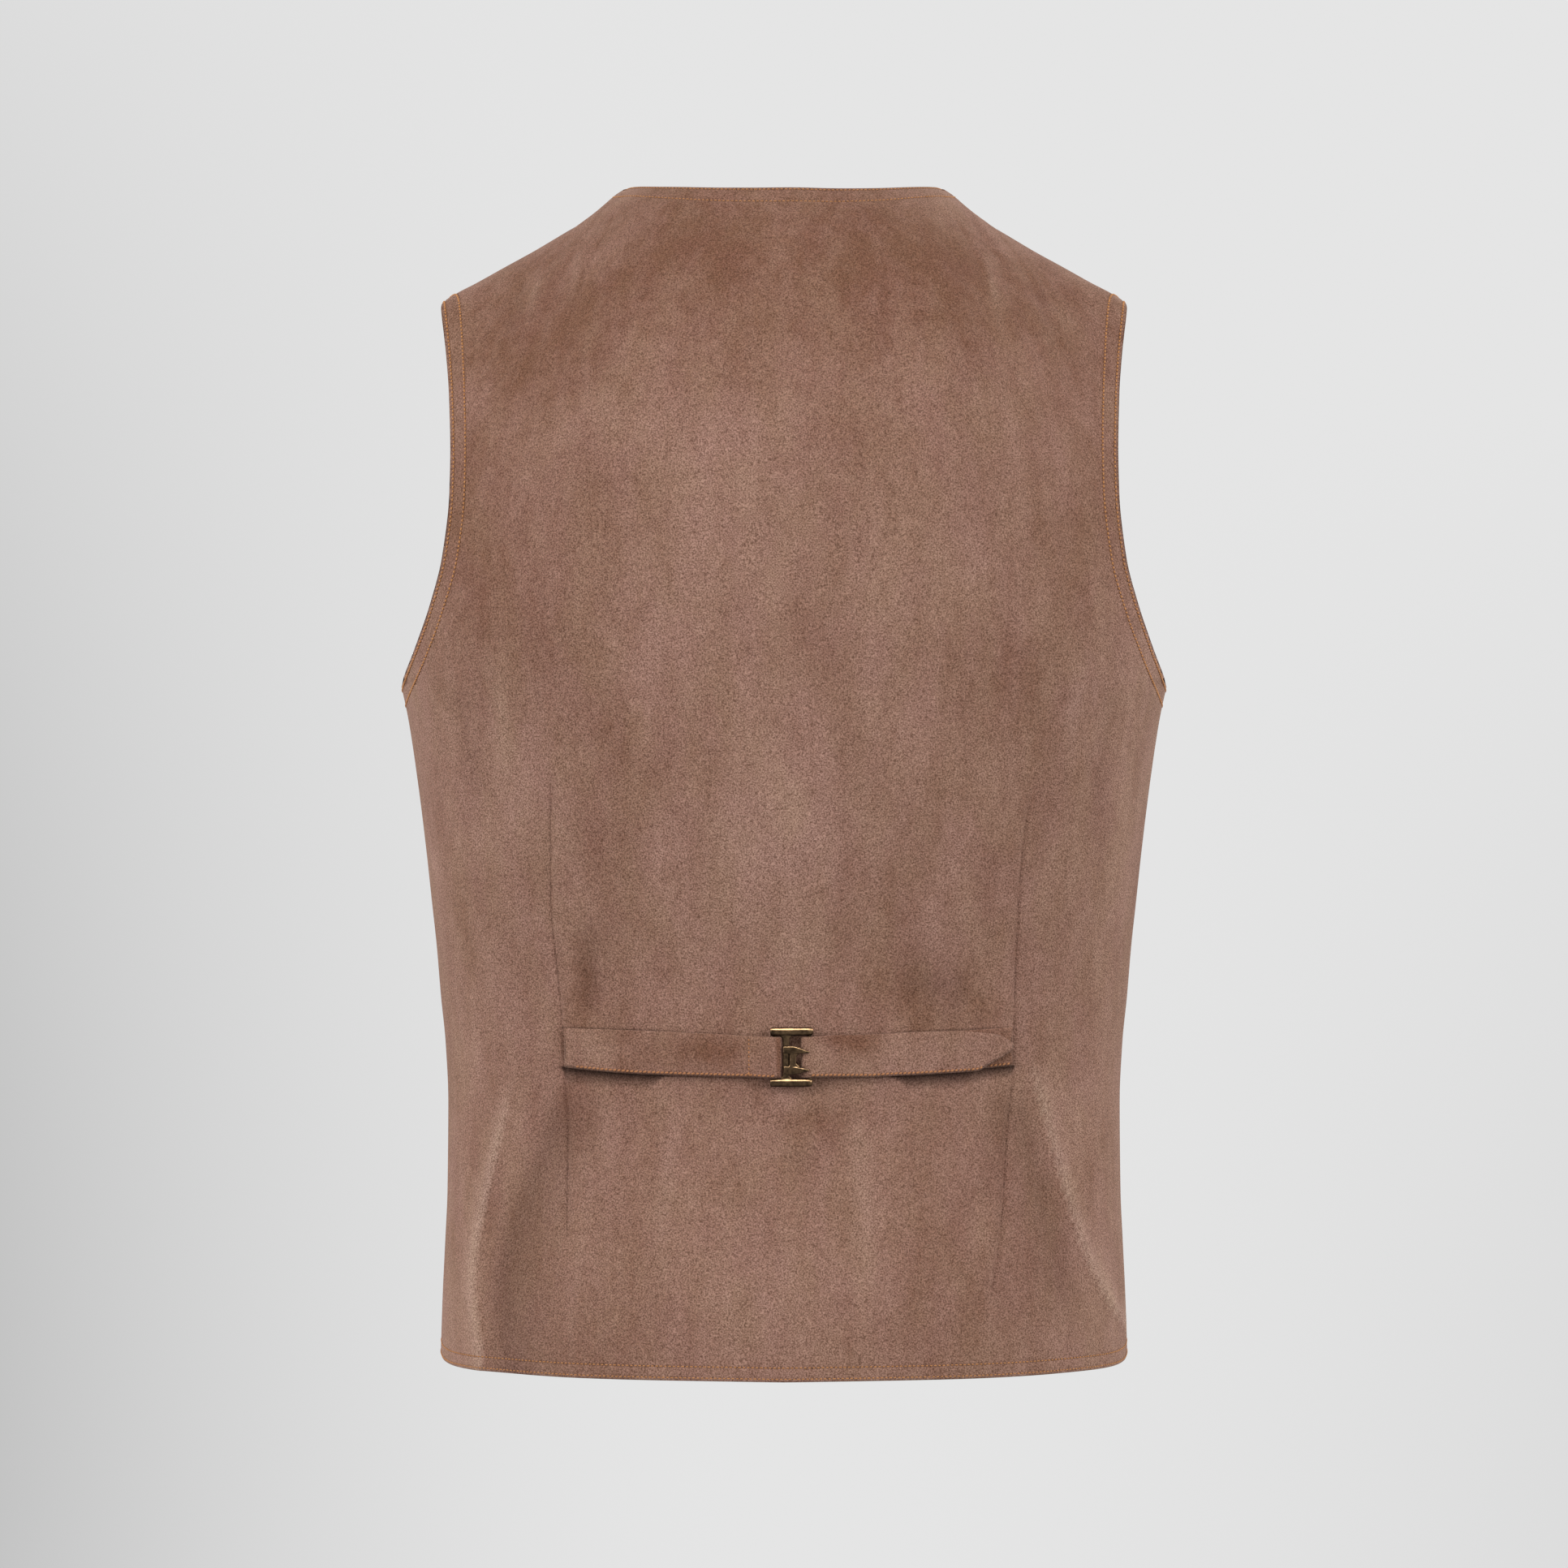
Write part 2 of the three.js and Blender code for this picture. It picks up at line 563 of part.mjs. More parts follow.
// The same geometry with its points joined
function welded(geometry) {
  const bare = geometry.clone();
  bare.deleteAttribute("normal");
  bare.deleteAttribute("uv");
  return mergeVertices(bare, WELD);
}

function toManifold(geometry) {
  const merged = welded(geometry);
  return new wasm.Manifold(new wasm.Mesh({
    numProp: 3,
    vertProperties: Float32Array.from(merged.attributes.position.array),
    triVerts: Uint32Array.from(merged.index.array),
  }));
}

function fromManifold(body) {
  const mesh = body.getMesh();
  const geometry = new THREE.BufferGeometry();
  geometry.setAttribute("position", new THREE.Float32BufferAttribute(mesh.vertProperties, 3));
  geometry.setIndex([...mesh.triVerts]);
  geometry.computeVertexNormals();
  return geometry;
}

// One tooth: each row is x from the frame's left edge, underside, top side and half height
const TOOTH = [
  [5.9, 4.25, 5.5, 1.7], [7.6, 4.25, 6.3, 2.0], [10.6, 5.2, 7.1, 1.9], [14, 6.1, 7.35, 1.5],
  [16.6, 6.2, 7.1, 0.8], [17.3, 6.25, 6.8, 0.4],
];
const TOOTH_ROUNDING = 0.55; // share of a section's smaller half size
const TEETH_Y = [4.0, -6.1];
const SPINE = { left: 9.3, right: 12.3, low: 4.6, high: 6.2 };

function buckleProngs() {
  const w = BUCKLE_WIDTH / 2;
  const teeth = TEETH_Y.map((y) => loft(TOOTH.map(([x, low, high, half]) => {
    const soft = Math.min(half, (high - low) / 2) * TOOTH_ROUNDING;
    return [
      [x - w, y - half, low + soft * 0.4], [x - w, y - half + soft, low], [x - w, y + half - soft, low],
      [x - w, y + half, low + soft * 0.4], [x - w, y + half, high - soft], [x - w, y + half - soft, high],
      [x - w, y - half + soft, high], [x - w, y - half, high - soft],
    ];
  })));
  const [top, bottom] = TEETH_Y;
  const spine = new THREE.BoxGeometry(SPINE.right - SPINE.left, top - bottom, SPINE.high - SPINE.low);
  spine.translate((SPINE.left + SPINE.right) / 2 - w, (top + bottom) / 2, (SPINE.low + SPINE.high) / 2);
  return fromManifold(toManifold(teeth[0]).add(toManifold(teeth[1])).add(toManifold(spine)));
}

// A button: a turned disc with a raised rim and four holes. The profile's rows are radius and height.
const BUTTON_PROFILE = [[0, 0], [5.9, 0], [BUTTON_RADIUS, 1.2], [6.9, 2.3], [6.1, 2.5], [4.8, 1.8], [0, 1.8]];
const BUTTON_SIDES = 18;
const BUTTON_HOLE = { radius: 0.85, off: 1.4, sides: 6, length: 8 };
const BUTTON_LIFT = 0.35;

function buttonBody() {
  const disc = new THREE.LatheGeometry(BUTTON_PROFILE.map(([r, h]) => new THREE.Vector2(r, h)), BUTTON_SIDES);
  disc.rotateX(Math.PI / 2);
  let body = toManifold(turned(disc));
  const { radius, off, sides, length } = BUTTON_HOLE;
  for (const [x, y] of [[off, off], [-off, off], [-off, -off], [off, -off]]) {
    const hole = new THREE.CylinderGeometry(radius, radius, length, sides);
    hole.rotateX(Math.PI / 2);
    hole.translate(x, y, 0);
    body = body.subtract(toManifold(hole));
  }
  return fromManifold(body);
}

// The same closed geometry with its faces pointing out
function turned(geometry) {
  const merged = welded(geometry);
  const place = merged.attributes.position;
  const points = Array.from({ length: place.count }, (_, i) => [place.getX(i), place.getY(i), place.getZ(i)]);
  const index = [...merged.index.array];
  const faces = [];
  for (let i = 0; i < index.length; i += 3) {
    const face = index.slice(i, i + 3);
    if (new Set(face).size === 3) faces.push(face);
  }
  return solid(points, faces);
}

// A place on the centre line of the front, and the cloth's normal there
function frontPlace(z) {
  const h = lowerShare(z);
  const point = bodyPoint("front", 0, h, HEM_Z);
  const normal = bodyNormal("front", NUDGE, h, HEM_Z);
  return [point, normal];
}

// The whole garment
const waistcoat = new THREE.Group();

function piece(name, geometry, look, matrix) {
  const mesh = new THREE.Mesh(geometry, new THREE.MeshStandardMaterial(look));
  mesh.name = name;
  if (matrix) matrix.decompose(mesh.position, mesh.quaternion, mesh.scale);
  waistcoat.add(mesh);
}

piece("back", wall(backGrids()), SUEDE);
piece("front_left", wall(frontGrids(false)), SUEDE);
piece("front_right", wall(frontGrids(true)), SUEDE);
piece("strap_left", wall(strapGrids(LEFT_STRAP)), SUEDE);
piece("strap_right", wall(strapGrids(RIGHT_STRAP)), SUEDE);

const buckleFoot = offBack(BUCKLE_X, BUCKLE_Z, 0);
const buckleAt = standOn(buckleFoot, sub(offBack(BUCKLE_X, BUCKLE_Z, 1), buckleFoot));
piece("buckle_frame", buckleFrame(), BRASS, buckleAt);
piece("buckle_prongs", buckleProngs(), BRASS, buckleAt);

BUTTON_ZS.forEach((z, i) => {
  const [point, normal] = frontPlace(z);
  piece(`button_${i + 1}`, buttonBody(), HORN, standOn(add(point, normal, BUTTON_LIFT), normal));
});

export default waistcoat;
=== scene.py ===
import math

import bpy
import numpy as np
from mathutils import Matrix, Vector, kdtree


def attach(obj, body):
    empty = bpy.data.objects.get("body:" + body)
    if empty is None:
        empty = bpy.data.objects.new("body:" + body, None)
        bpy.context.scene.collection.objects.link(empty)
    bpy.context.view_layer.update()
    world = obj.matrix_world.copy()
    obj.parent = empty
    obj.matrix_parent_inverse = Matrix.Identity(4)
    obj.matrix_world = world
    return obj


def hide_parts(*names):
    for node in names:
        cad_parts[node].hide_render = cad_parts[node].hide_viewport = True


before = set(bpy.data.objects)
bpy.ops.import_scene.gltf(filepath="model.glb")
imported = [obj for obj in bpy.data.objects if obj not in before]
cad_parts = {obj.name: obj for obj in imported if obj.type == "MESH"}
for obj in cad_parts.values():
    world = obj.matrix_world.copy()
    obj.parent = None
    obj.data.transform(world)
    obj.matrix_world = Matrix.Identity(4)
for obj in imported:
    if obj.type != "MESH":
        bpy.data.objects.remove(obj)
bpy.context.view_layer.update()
bpy.ops.object.select_all(action="DESELECT")

# Camera, as the photograph was taken: level, behind the garment
CAMERA_AWAY = 3.5
CAMERA_Z = -0.2901
CAMERA_LENS = 159.07

# Sizes of the body, the same as in the part's source
BACK = 1
FRONT = -1
CLOTH = 1.8
SQUARENESS = 0.033
ARMPIT_Z = -241
HEM_Z = -583
FRONT_HEM_DROP = 15
NECK_HALF_WIDTH = 78
NECK_DEPTH = 62
NECK_LOW = {BACK: 6.2, FRONT: -8}
NECK_POINT_Z = 10.8
NECK_SHARE = 0.5
NECK_EASE = 0.2
# The curve of each column above the armpit: how far its ends pull, at the centre and towards the seam
START_PULLS = (108, 120)
END_PULLS = {BACK: (92, 52), FRONT: (70, 60)}
# The directions of a column's upper end, inwards and upwards: at the neck's centre, and at the shoulder
NECK_LEAN = (0.62, 0.82)
NECK_RISE = (0.78, 0.57)
SHOULDER_INWARD = 0.8
NECK_TURN = 0.5556
NECK_POWER = 2.6
# How the columns are blended with their neighbours: where along the column, how far from the neck point, and
# the steps to both sides with their weights
BLEND_FADE = ((0.02, 0.25), (0.86, 1))
BLEND_REACH = 0.45
NECK_BLEND = [(-1, 0.12), (-0.5, 0.23), (0, 0.3), (0.5, 0.23), (1, 0.12)]
# The front hem: its point, and its rise at the side seam
FRONT_POINT = {"share": 0.22, "half": 0.2, "drop": 14}
FRONT_HEM_FALL = 2
FRONT_HEM_RISE = 6.2
LOWER_LENGTH = ARMPIT_Z - HEM_Z
UNDERLAP_DEPTH = 2.5
UNDERLAP_SPAN = (15, 62)
SEAM_HALF_GAP = 0.02

# Half width of the body at each height
HALF_WIDTHS = [
    (-583, 173.5), (-545, 172.2), (-520, 171), (-495, 169.9), (-450, 169.5), (-421, 170.8),
    (-397, 173.2), (-372, 175.3), (-348, 177.9), (-323, 180.6), (-290, 184.7), (-257.5, 189.6),
    (-241, 193.1),
]
# Depth from the seam plane at each height
DEPTHS = {
    BACK: [
        (-583, 112), (-545, 110), (-495, 104), (-450, 99), (-397, 99.5), (-348, 106), (-290, 114),
        (-241, 118),
    ],
    FRONT: [
        (-583, 112), (-545, 114), (-495, 115), (-450, 115), (-397, 116), (-348, 119), (-290, 123),
        (-241, 124),
    ],
}
# Half width at each height of the armhole edges
ARMHOLES = {
    BACK: [
        (-241, 193.1), (-233.3, 189.3), (-225.3, 185.4), (-217.4, 182.1), (-201.5, 176.3), (-177.5, 169.9),
        (-145.4, 166.5), (-129.2, 166.3), (-96.5, 167.6), (-79.8, 169.1), (-61.8, 171.3), (-51, 172.8),
    ],
    FRONT: [
        (-241, 193.1), (-233, 187), (-222, 180), (-202, 171), (-175, 162), (-145, 157.5), (-115, 157.5),
        (-88, 161.5), (-68, 166.5), (-56, 171.2), (-51, 172.8),
    ],
}
# The front neck edge, then the closing edge down to the hem: height and x of the left front
FRONT_EDGE = [
    (-600, 52), (-590, 40), (-575, 22), (-560, 8), (-545, -3), (-530, -9), (-512, -12), (-260, -12),
    (-241, -12), (-222, -8), (-200, 3), (-162, 22), (-118, 42), (-75, 58), (-32, 70), (-5, 76), (10.8, 78),
]
# The shoulder seam from the neck point to the tip: x and z
SHOULDER = [
    (78, 10.8), (81, 10.1), (85.1, 6.9), (89.2, 2.7), (94.1, -1.5), (97.4, -4), (110.9, -11.9),
    (124.8, -20.2), (140, -28.6), (154.4, -36.7), (166.3, -43), (170.4, -45.9), (172.3, -48.6),
    (172.8, -51),
]
# Centre lines of the two fisheye darts: height and x
DART_LEFT = [
    (-600, 107), (-511.8, 107), (-468.8, 106.8), (-430, 108), (-410.9, 109.2), (-389.6, 111.1),
    (-343.9, 115), (-284.7, 114.8), (-241, 114),
]
DART_RIGHT = [
    (-600, -96), (-541.8, -102), (-507.4, -107), (-464.1, -110), (-431.4, -112.8), (-376, -114.3),
    (-343.9, -115.8), (-307.9, -119.3), (-293.1, -122), (-241, -124),
]
DART_ENDS = {"left": (-514, -286), "right": (-546, -296)}
DART_DEPTH = 0.9
DART_SPREAD = 1.3
DART_SHARE = 0.43
# The soft roll of cloth on both sides of a dart
DART_ROLL = {"height": 0.5, "away": 4.5, "half": 3, "right": 0.6}
# Folds of the back. Each row: height (below 0 is a trough), how far it spreads towards the wearer's right
# and left, how far it fades in from its first and its last place, and the (x, z) places along it
FOLDS = [
    (1.9, 2.2, 8, 50, 0,
     [(131, -425), (138.2, -452), (147, -490), (153.6, -522), (154.5, -543), (150.9, -569), (150, -592)]),
    (1.7, 7, 1.5, 30, 0,
     [(-119, -418), (-127, -448), (-136.2, -481), (-149, -522), (-162, -548), (-176, -568)]),
    (-1.5, 22, 8, 30, 0,
     [(103, -434), (112, -456), (124, -486), (136, -516), (140, -543), (137, -569), (135, -592)]),
    (-0.9, 8, 12, 25, 40, [(-113, -436), (-124, -480), (-136, -530), (-143, -570)]),
    (0.4, 6, 6, 30, 0, [(97, -492), (102, -530), (104, -560), (105, -590)]),
    (-1.2, 9, 6, 22, 12, [(99, -352), (97, -380), (98, -408)]),
    (-1.1, 14, 14, 16, 10, [(-50, -392), (-72, -389), (-96, -396)]),
    (-0.6, 7, 7, 12, 30, [(-108, -438), (-105, -470), (-99, -505)]),
    (0.7, 9, 9, 14, 25, [(-6, -442), (-4, -462)]),
    (-0.7, 10, 10, 10, 20, [(-10, -464), (-6, -490)]),
    (0.5, 8, 10, 20, 60, [(-34, -448), (-40, -500), (-42, -560)]),
    (0.5, 9, 8, 30, 60, [(52, -446), (60, -500), (64, -560)]),
    (0.7, 4, 5, 12, 25, [(121, -30), (125, -48), (129, -72)]),
    (-0.6, 5, 5, 12, 30, [(127, -32), (133, -52), (142, -82)]),
    (0.6, 4, 5, 10, 25, [(101, -20), (104, -42), (107, -62)]),
    (0.7, 5, 4, 10, 25, [(-100, -22), (-104, -46), (-108, -70)]),
    (-0.5, 5, 5, 12, 25, [(-126, -36), (-131, -58), (-137, -84)]),
    (0.5, 6, 6, 20, 40, [(150, -215), (140, -250), (135, -300)]),
    (0.5, 6, 6, 20, 40, [(-152, -218), (-143, -255), (-138, -300)]),
    (-0.5, 7, 7, 20, 40, [(163, -235), (155, -275), (152, -330)]),
    (-0.4, 7, 7, 20, 40, [(-163, -238), (-156, -280), (-152, -330)]),
]
# Where the nap lies dark (tone below 0) or light, together with painted shade: the darker band over the
# upper back, and dark spots round the straps' ends and beside the folds. Each row: x, z, half sizes across
# and up, tone
NAP_AND_SHADE_PATCHES = [
    (0, -20, 190, 62, -1.2), (29, -28, 95, 20, -0.5), (112, -48, 40, 26, -0.9), (-112, -48, 40, 26, -0.8),
    (138, -85, 30, 30, -0.8), (-30, -66, 60, 16, -0.5), (-135, -60, 26, 30, -0.5), (30, -124, 45, 45, 0.5),
    (19, -182, 45, 35, 0.5), (14, -243, 42, 45, 0.6), (-12, -307, 28, 30, 0.8), (24, -351, 45, 35, 0.5),
    (-24, -372, 50, 20, 0.4), (138, -305, 24, 50, 0.9), (128, -66, 32, 28, -0.3), (50, -28, 28, 16, -0.3),
    (-68, -397, 20, 16, -1.2), (-99, -402, 9, 12, -1.3), (-84, -382, 18, 12, -0.5),
    (98, -390, 8, 22, -1.8), (-60, -34, 50, 18, -0.6), (104, -452, 8, 22, -1.2), (155, -150, 22, 50, -0.8),
    (-152, -160, 20, 45, -0.5), (-60, -180, 35, 50, 0.4), (65, -180, 35, 45, 0.3), (72, -330, 22, 40, 0.4),
    (122, -492, 12, 26, -0.2), (-108, -470, 5, 36, -0.9), (-12, -455, 18, 9, -1), (5, -312, 28, 30, 0.7),
    (150, -200, 20, 50, -0.5), (89, -263, 13, 20, -0.5), (76, -201, 15, 15, -0.4),
    (-141, -165, 18, 36, -0.6), (-152, -208, 16, 24, -0.4), (-7, -222, 8, 16, -0.5),
    (-35, -118, 16, 15, -0.4), (86, -336, 16, 36, -0.4), (159, -362, 10, 26, -0.5),
    (-121, -289, 13, 22, 0.4), (-157, -305, 14, 32, -0.3), (50, -465, 14, 46, 0.3),
    (-43, -500, 14, 60, 0.3), (-90, -538, 10, 20, -0.4), (-1, -446, 10, 5, 1.2), (8, -540, 60, 20, 0.2),
    (-135, -400, 20, 50, 0.2), (152, -420, 14, 40, 0.2),
]
# Where the straps' nap lies dark or light, with painted shade among it, such as the dark line just before
# the left strap's folded end. Each row: x, z, half sizes across and up, tone
STRAP_NAP_AND_SHADE_PATCHES = [
    (-26, -415, 12, 4.5, -2), (-36, -418.5, 8, 6, -2.4), (34, -421, 24, 8, -1.3), (88, -424, 14, 6, 0.8),
    (-70, -420, 20, 6, 0.5), (2.9, -424, 0.7, 16, -2.6), (55, -422, 38, 14, -0.7), (97, -418, 7, 8, 0.8),
]
# The shade round the straps. Each row: x, height of their upper and lower edges, how far it reaches below
STRAP_SHADE = [
    (-125, -411, -430, 0), (-114, -411, -430, 0.5), (-111, -411, -430, 6), (-100, -411, -430.4, 6),
    (-85, -411.6, -432.2, 8), (-62, -412.3, -433.4, 8), (-54, -413, -434, 0.8), (-20, -413.6, -434.3, 0.5),
    (5, -414.2, -434.6, 0.5), (34, -412.9, -434.2, 0.5), (58, -412.2, -433.5, 0.8),
    (66, -411.6, -433.2, 7.5), (98, -411, -431.4, 8), (107, -410.8, -430.7, 7.5),
    (110, -410.8, -430.4, 0.5), (125, -410.8, -430.3, 0),
]
# Small puckers that the sewing pulls into the hem band of the back
PUCKER = {"low": -583, "high": -566, "middle": -580, "depth": 0.45, "half": 1.7, "lean": 0.25}
PUCKER_XS = [149, 145.5, 141, 132, 118, 96, 71, 44, 18, -12, -37, -66, -92, -121, -139, -150, -158]
# How far the back hem rises from the centre to the side seam
BACK_HEM_RISE = [
    (0, 0.2), (0.18, 0.7), (0.36, 0.9), (0.5, 1.3), (0.58, 1.6), (0.7, 1.8), (0.8, 2.2), (0.88, 3.2),
    (0.94, 4.6), (1, 6.2),
]

# Sewing: distance of each row of stitches from its edge
STITCH_PITCH = 2.15
PANEL_STITCH = {"length": 1.5, "width": 0.62, "height": 0.4}
ARMHOLE_STITCH = {"length": 1.65, "width": 1.05, "height": 0.7}
STITCH = {"length": 1.8, "width": 0.95, "height": 0.6}
HEM_ROWS = (1.5, 7.0)
ARMHOLE_ROWS = (2.6, 10.4)
NECK_ROWS = (1.6, 9.5)
CLOSING_ROWS = (1.5, 6.5)
STRAP_ROW = 1.25
GROOVE_DEPTH = 0.28
GROOVE_HALF = 0.8
STITCH_SINK = 0.12
STITCH_SLANT = 0.35


def lerp(a, b, t):
    return a + (b - a) * t


def smooth(low, high, v):
    t = np.clip((v - low) / (high - low), 0, 1)
    return t * t * (3 - 2 * t)


def unit(v):
    return v / np.maximum(np.linalg.norm(v, axis=-1, keepdims=True), 1e-9)


def stack(*parts):
    return np.stack(np.broadcast_arrays(*parts), -1)


def hump(away, half):
    """1 in the middle, falling softly to nothing on both sides."""
    return np.exp(-((away / half) ** 2))


def running_length(points):
    """The length of a line from its first point to each of its points."""
    steps = np.linalg.norm(np.diff(np.asarray(points, float), axis=0), axis=-1)
    return np.concatenate(([0], np.cumsum(steps)))


def curve(rows):
    """A smooth curve through (key, value) rows with rising keys."""
    keys, values = np.array(rows, float).T
    steps = np.diff(values) / np.diff(keys)
    same = steps[:-1] * steps[1:] > 0
    mean = 2 * steps[:-1] * steps[1:] / np.where(same, steps[:-1] + steps[1:], 1)
    slopes = np.concatenate(([steps[0]], np.where(same, mean, 0), [steps[-1]]))

    def at(key):
        k = np.clip(key, keys[0], keys[-1])
        i = np.clip(np.searchsorted(keys, k) - 1, 0, len(keys) - 2)
        step = keys[i + 1] - keys[i]
        t = (k - keys[i]) / step
        start = values[i] * (1 + 2 * t) * (1 - t) ** 2 + values[i + 1] * t * t * (3 - 2 * t)
        return start + step * (slopes[i] * t * (1 - t) ** 2 - slopes[i + 1] * t * t * (1 - t))

    return at


def bisect(below, low, high):
    """The place between two arrays at which below stops being true."""
    for _ in range(32):
        mid = (low + high) / 2
        yes = below(mid)
        low = np.where(yes, mid, low)
        high = np.where(yes, high, mid)
    return (low + high) / 2


half_width = curve(HALF_WIDTHS)
depths = {side: curve(rows) for side, rows in DEPTHS.items()}
armholes = {side: curve(rows) for side, rows in ARMHOLES.items()}
front_edge = curve(FRONT_EDGE)
darts = {"left": curve(DART_LEFT), "right": curve(DART_RIGHT)}
back_hem_rise = curve(BACK_HEM_RISE)
shoulder_run = running_length(SHOULDER)
shoulder_x = curve(list(zip(shoulder_run, [row[0] for row in SHOULDER])))
shoulder_z = curve(list(zip(shoulder_run, [row[1] for row in SHOULDER])))


def section(side, w, z):
    """The level section of the body at a height, from the centre (w = 0) to the side seam (w = 1)."""
    angle = w * math.pi / 2
    full = 1 + SQUARENESS * np.sin(2 * angle) ** 2
    return stack(half_width(z) * np.sin(angle) * full, side * depths[side](z) * np.cos(angle) * full, z)


def section_share(x, z):
    """The share w at which the section reaches a half width."""
    return bisect(lambda w: section(BACK, w, z)[..., 0] < x, np.zeros_like(x * z), np.ones_like(x * z))


def hem_height(side, w):
    if side == BACK:
        return HEM_Z + back_hem_rise(np.abs(w))
    point = FRONT_POINT["drop"] * hump(w - FRONT_POINT["share"], FRONT_POINT["half"])
    return HEM_Z - FRONT_HEM_FALL * (1 - w) - point + FRONT_HEM_RISE * smooth(0.7, 1, w)


def top_point(side, w):
    """The upper end of each column: the neckline, then the shoulder seam."""
    run = np.clip((w - NECK_SHARE) / (1 - NECK_SHARE), 0, 1) * shoulder_run[-1]
    angle = np.clip(w / NECK_SHARE, 0, 1) * math.pi / 2
    z = lerp(NECK_LOW[side], NECK_POINT_Z, np.sin(angle) ** NECK_POWER)
    neck = stack(NECK_HALF_WIDTH * np.sin(angle), side * NECK_DEPTH * np.cos(angle), z)
    return np.where((w >= NECK_SHARE)[..., None], stack(shoulder_x(run), 0, shoulder_z(run)), neck)


def top_direction(side, w):
    """The direction in which a column arrives at its upper end."""
    inward = SHOULDER_INWARD * (1 - np.clip((w - NECK_SHARE) / (1 - NECK_SHARE), 0, 1))
    over = stack(-NECK_LEAN[1] * inward, -side, NECK_RISE[1] * inward)
    angle = np.clip(w / NECK_SHARE, 0, 1) * math.pi / 2
    turn = np.sin(angle) ** 2
    lean = lerp(*NECK_LEAN, turn)
    rise = lerp(*NECK_RISE, turn)
    along = NECK_TURN * smooth(0, NECK_SHARE, w)
    neck = stack(
        -lean * np.sin(angle) * (1 - along) + np.cos(angle) * along,
        -side * (lean * np.cos(angle) * (1 - along) + np.sin(angle) * along),
        rise * (1 - along),
    )
    return unit(np.where((w >= NECK_SHARE)[..., None], over, neck))


def column(side, w, v):
    """A column of the body above the armpit, as one Bezier curve up to its end."""
    start = section(side, w, np.full_like(w, ARMPIT_Z))
    rise = unit(start - section(side, w, np.full_like(w, ARMPIT_Z - 14)))
    end = top_point(side, w)
    first = start + rise * lerp(*START_PULLS, w)[..., None]
    second = end - top_direction(side, w) * lerp(*END_PULLS[side], smooth(0.2, 0.8, w))[..., None]
    t = v[..., None]
    return (1 - t) ** 3 * start + 3 * t * (1 - t) ** 2 * first + 3 * t * t * (1 - t) * second + t ** 3 * end


def upper(side, w, v):
    """The body above the armpit. Each column is blended with those beside it, so that no crease hangs from
    the neck point."""
    fade = smooth(*BLEND_FADE[0], v) * (1 - smooth(*BLEND_FADE[1], v))
    reach = NECK_EASE * fade * np.clip(1 - np.abs(w - NECK_SHARE) / BLEND_REACH, 0, 1)
    total = 0
    for step, weight in NECK_BLEND:
        total = total + weight * column(side, w + step * reach, v)
    return total


def body(side, w, h):
    """A place of the body: h runs from -1 at the hem through 0 at the armpit to 1 at the top."""
    w, h = np.broadcast_arrays(np.asarray(w, float), np.asarray(h, float))
    share = np.abs(w)
    below = section(side, share, lerp(ARMPIT_Z, hem_height(side, w), np.clip(-h, 0, 1)))
    p = np.where((h <= 0)[..., None], below, upper(side, share, np.clip(h, 0, 1)))
    p[..., 0] *= np.where(w < 0, -1, 1)
    return p


def slopes(side, w, h, step=0.003):
    """The two directions in the surface, across and up, per unit of w and h."""
    right, left = np.clip(w + step, -1, 1), np.clip(w - step, -1, 1)
    high, low = np.clip(h + step, -1, 1), np.clip(h - step, -1, 1)
    across = (body(side, right, h) - body(side, left, h)) / (right - left)[..., None]
    up = (body(side, w, high) - body(side, w, low)) / (high - low)[..., None]
    return across, up


def normal(side, w, h):
    across, up = slopes(side, w, h)
    n = unit(np.cross(across, up)) * -side
    on_seam = ((h <= 0) & (np.abs(w) > 0.9999)) | ((h > 0.9999) & (np.abs(w) >= NECK_SHARE))
    flat = n.copy()
    flat[..., 1] = 0
    return np.where(on_seam[..., None], unit(flat), n)


def nearest(side, w, h, target):
    """The surface place (w, h) closest to each target point, from a first guess."""
    for _ in range(4):
        across, up = slopes(side, w, h)
        miss = target - body(side, w, h)
        aa, ab, bb = (across * across).sum(-1), (across * up).sum(-1), (up * up).sum(-1)
        ma, mb = (miss * across).sum(-1), (miss * up).sum(-1)
        det = aa * bb - ab * ab
        w = np.clip(w + (ma * bb - mb * ab) / det, -1, 1)
        h = np.clip(h + (mb * aa - ma * ab) / det, -1, 1)
    return w, h


def place_on(side, x, z, out=0.0):
    """A place a distance off one side of the body, by x and height, and the cloth's normal there."""
    z = z + 0 * x
    share = np.sign(x) * section_share(np.abs(x), z)
    h = (z - ARMPIT_Z) / LOWER_LENGTH
    facing = normal(side, share, h)
    return body(side, share, h) + facing * np.asarray(out)[..., None], facing


# Relief of the cloth

def ripple(p, rows):
    """Long soft swells, from rows of height and the wave lengths along x and z."""
    out = 0
    for i, (height, across, up) in enumerate(rows):
        bend = np.sin(p[..., 2] / (up * 0.37) + 1.9 * i)
        phase = p[..., 0] / across * 6.28 + p[..., 2] / up * 6.28
        out = out + height * np.sin(phase + 1.3 * i + 0.8 * bend)
    return out


SWELLS = [(0.3, 150, 420), (0.18, 83, -260), (0.1, 47, 170), (0.05, 29, -95)]
CREST_POWER = 2.2
TROUGH_POWER = 1.3
SEAM_FADE = (2, 34)


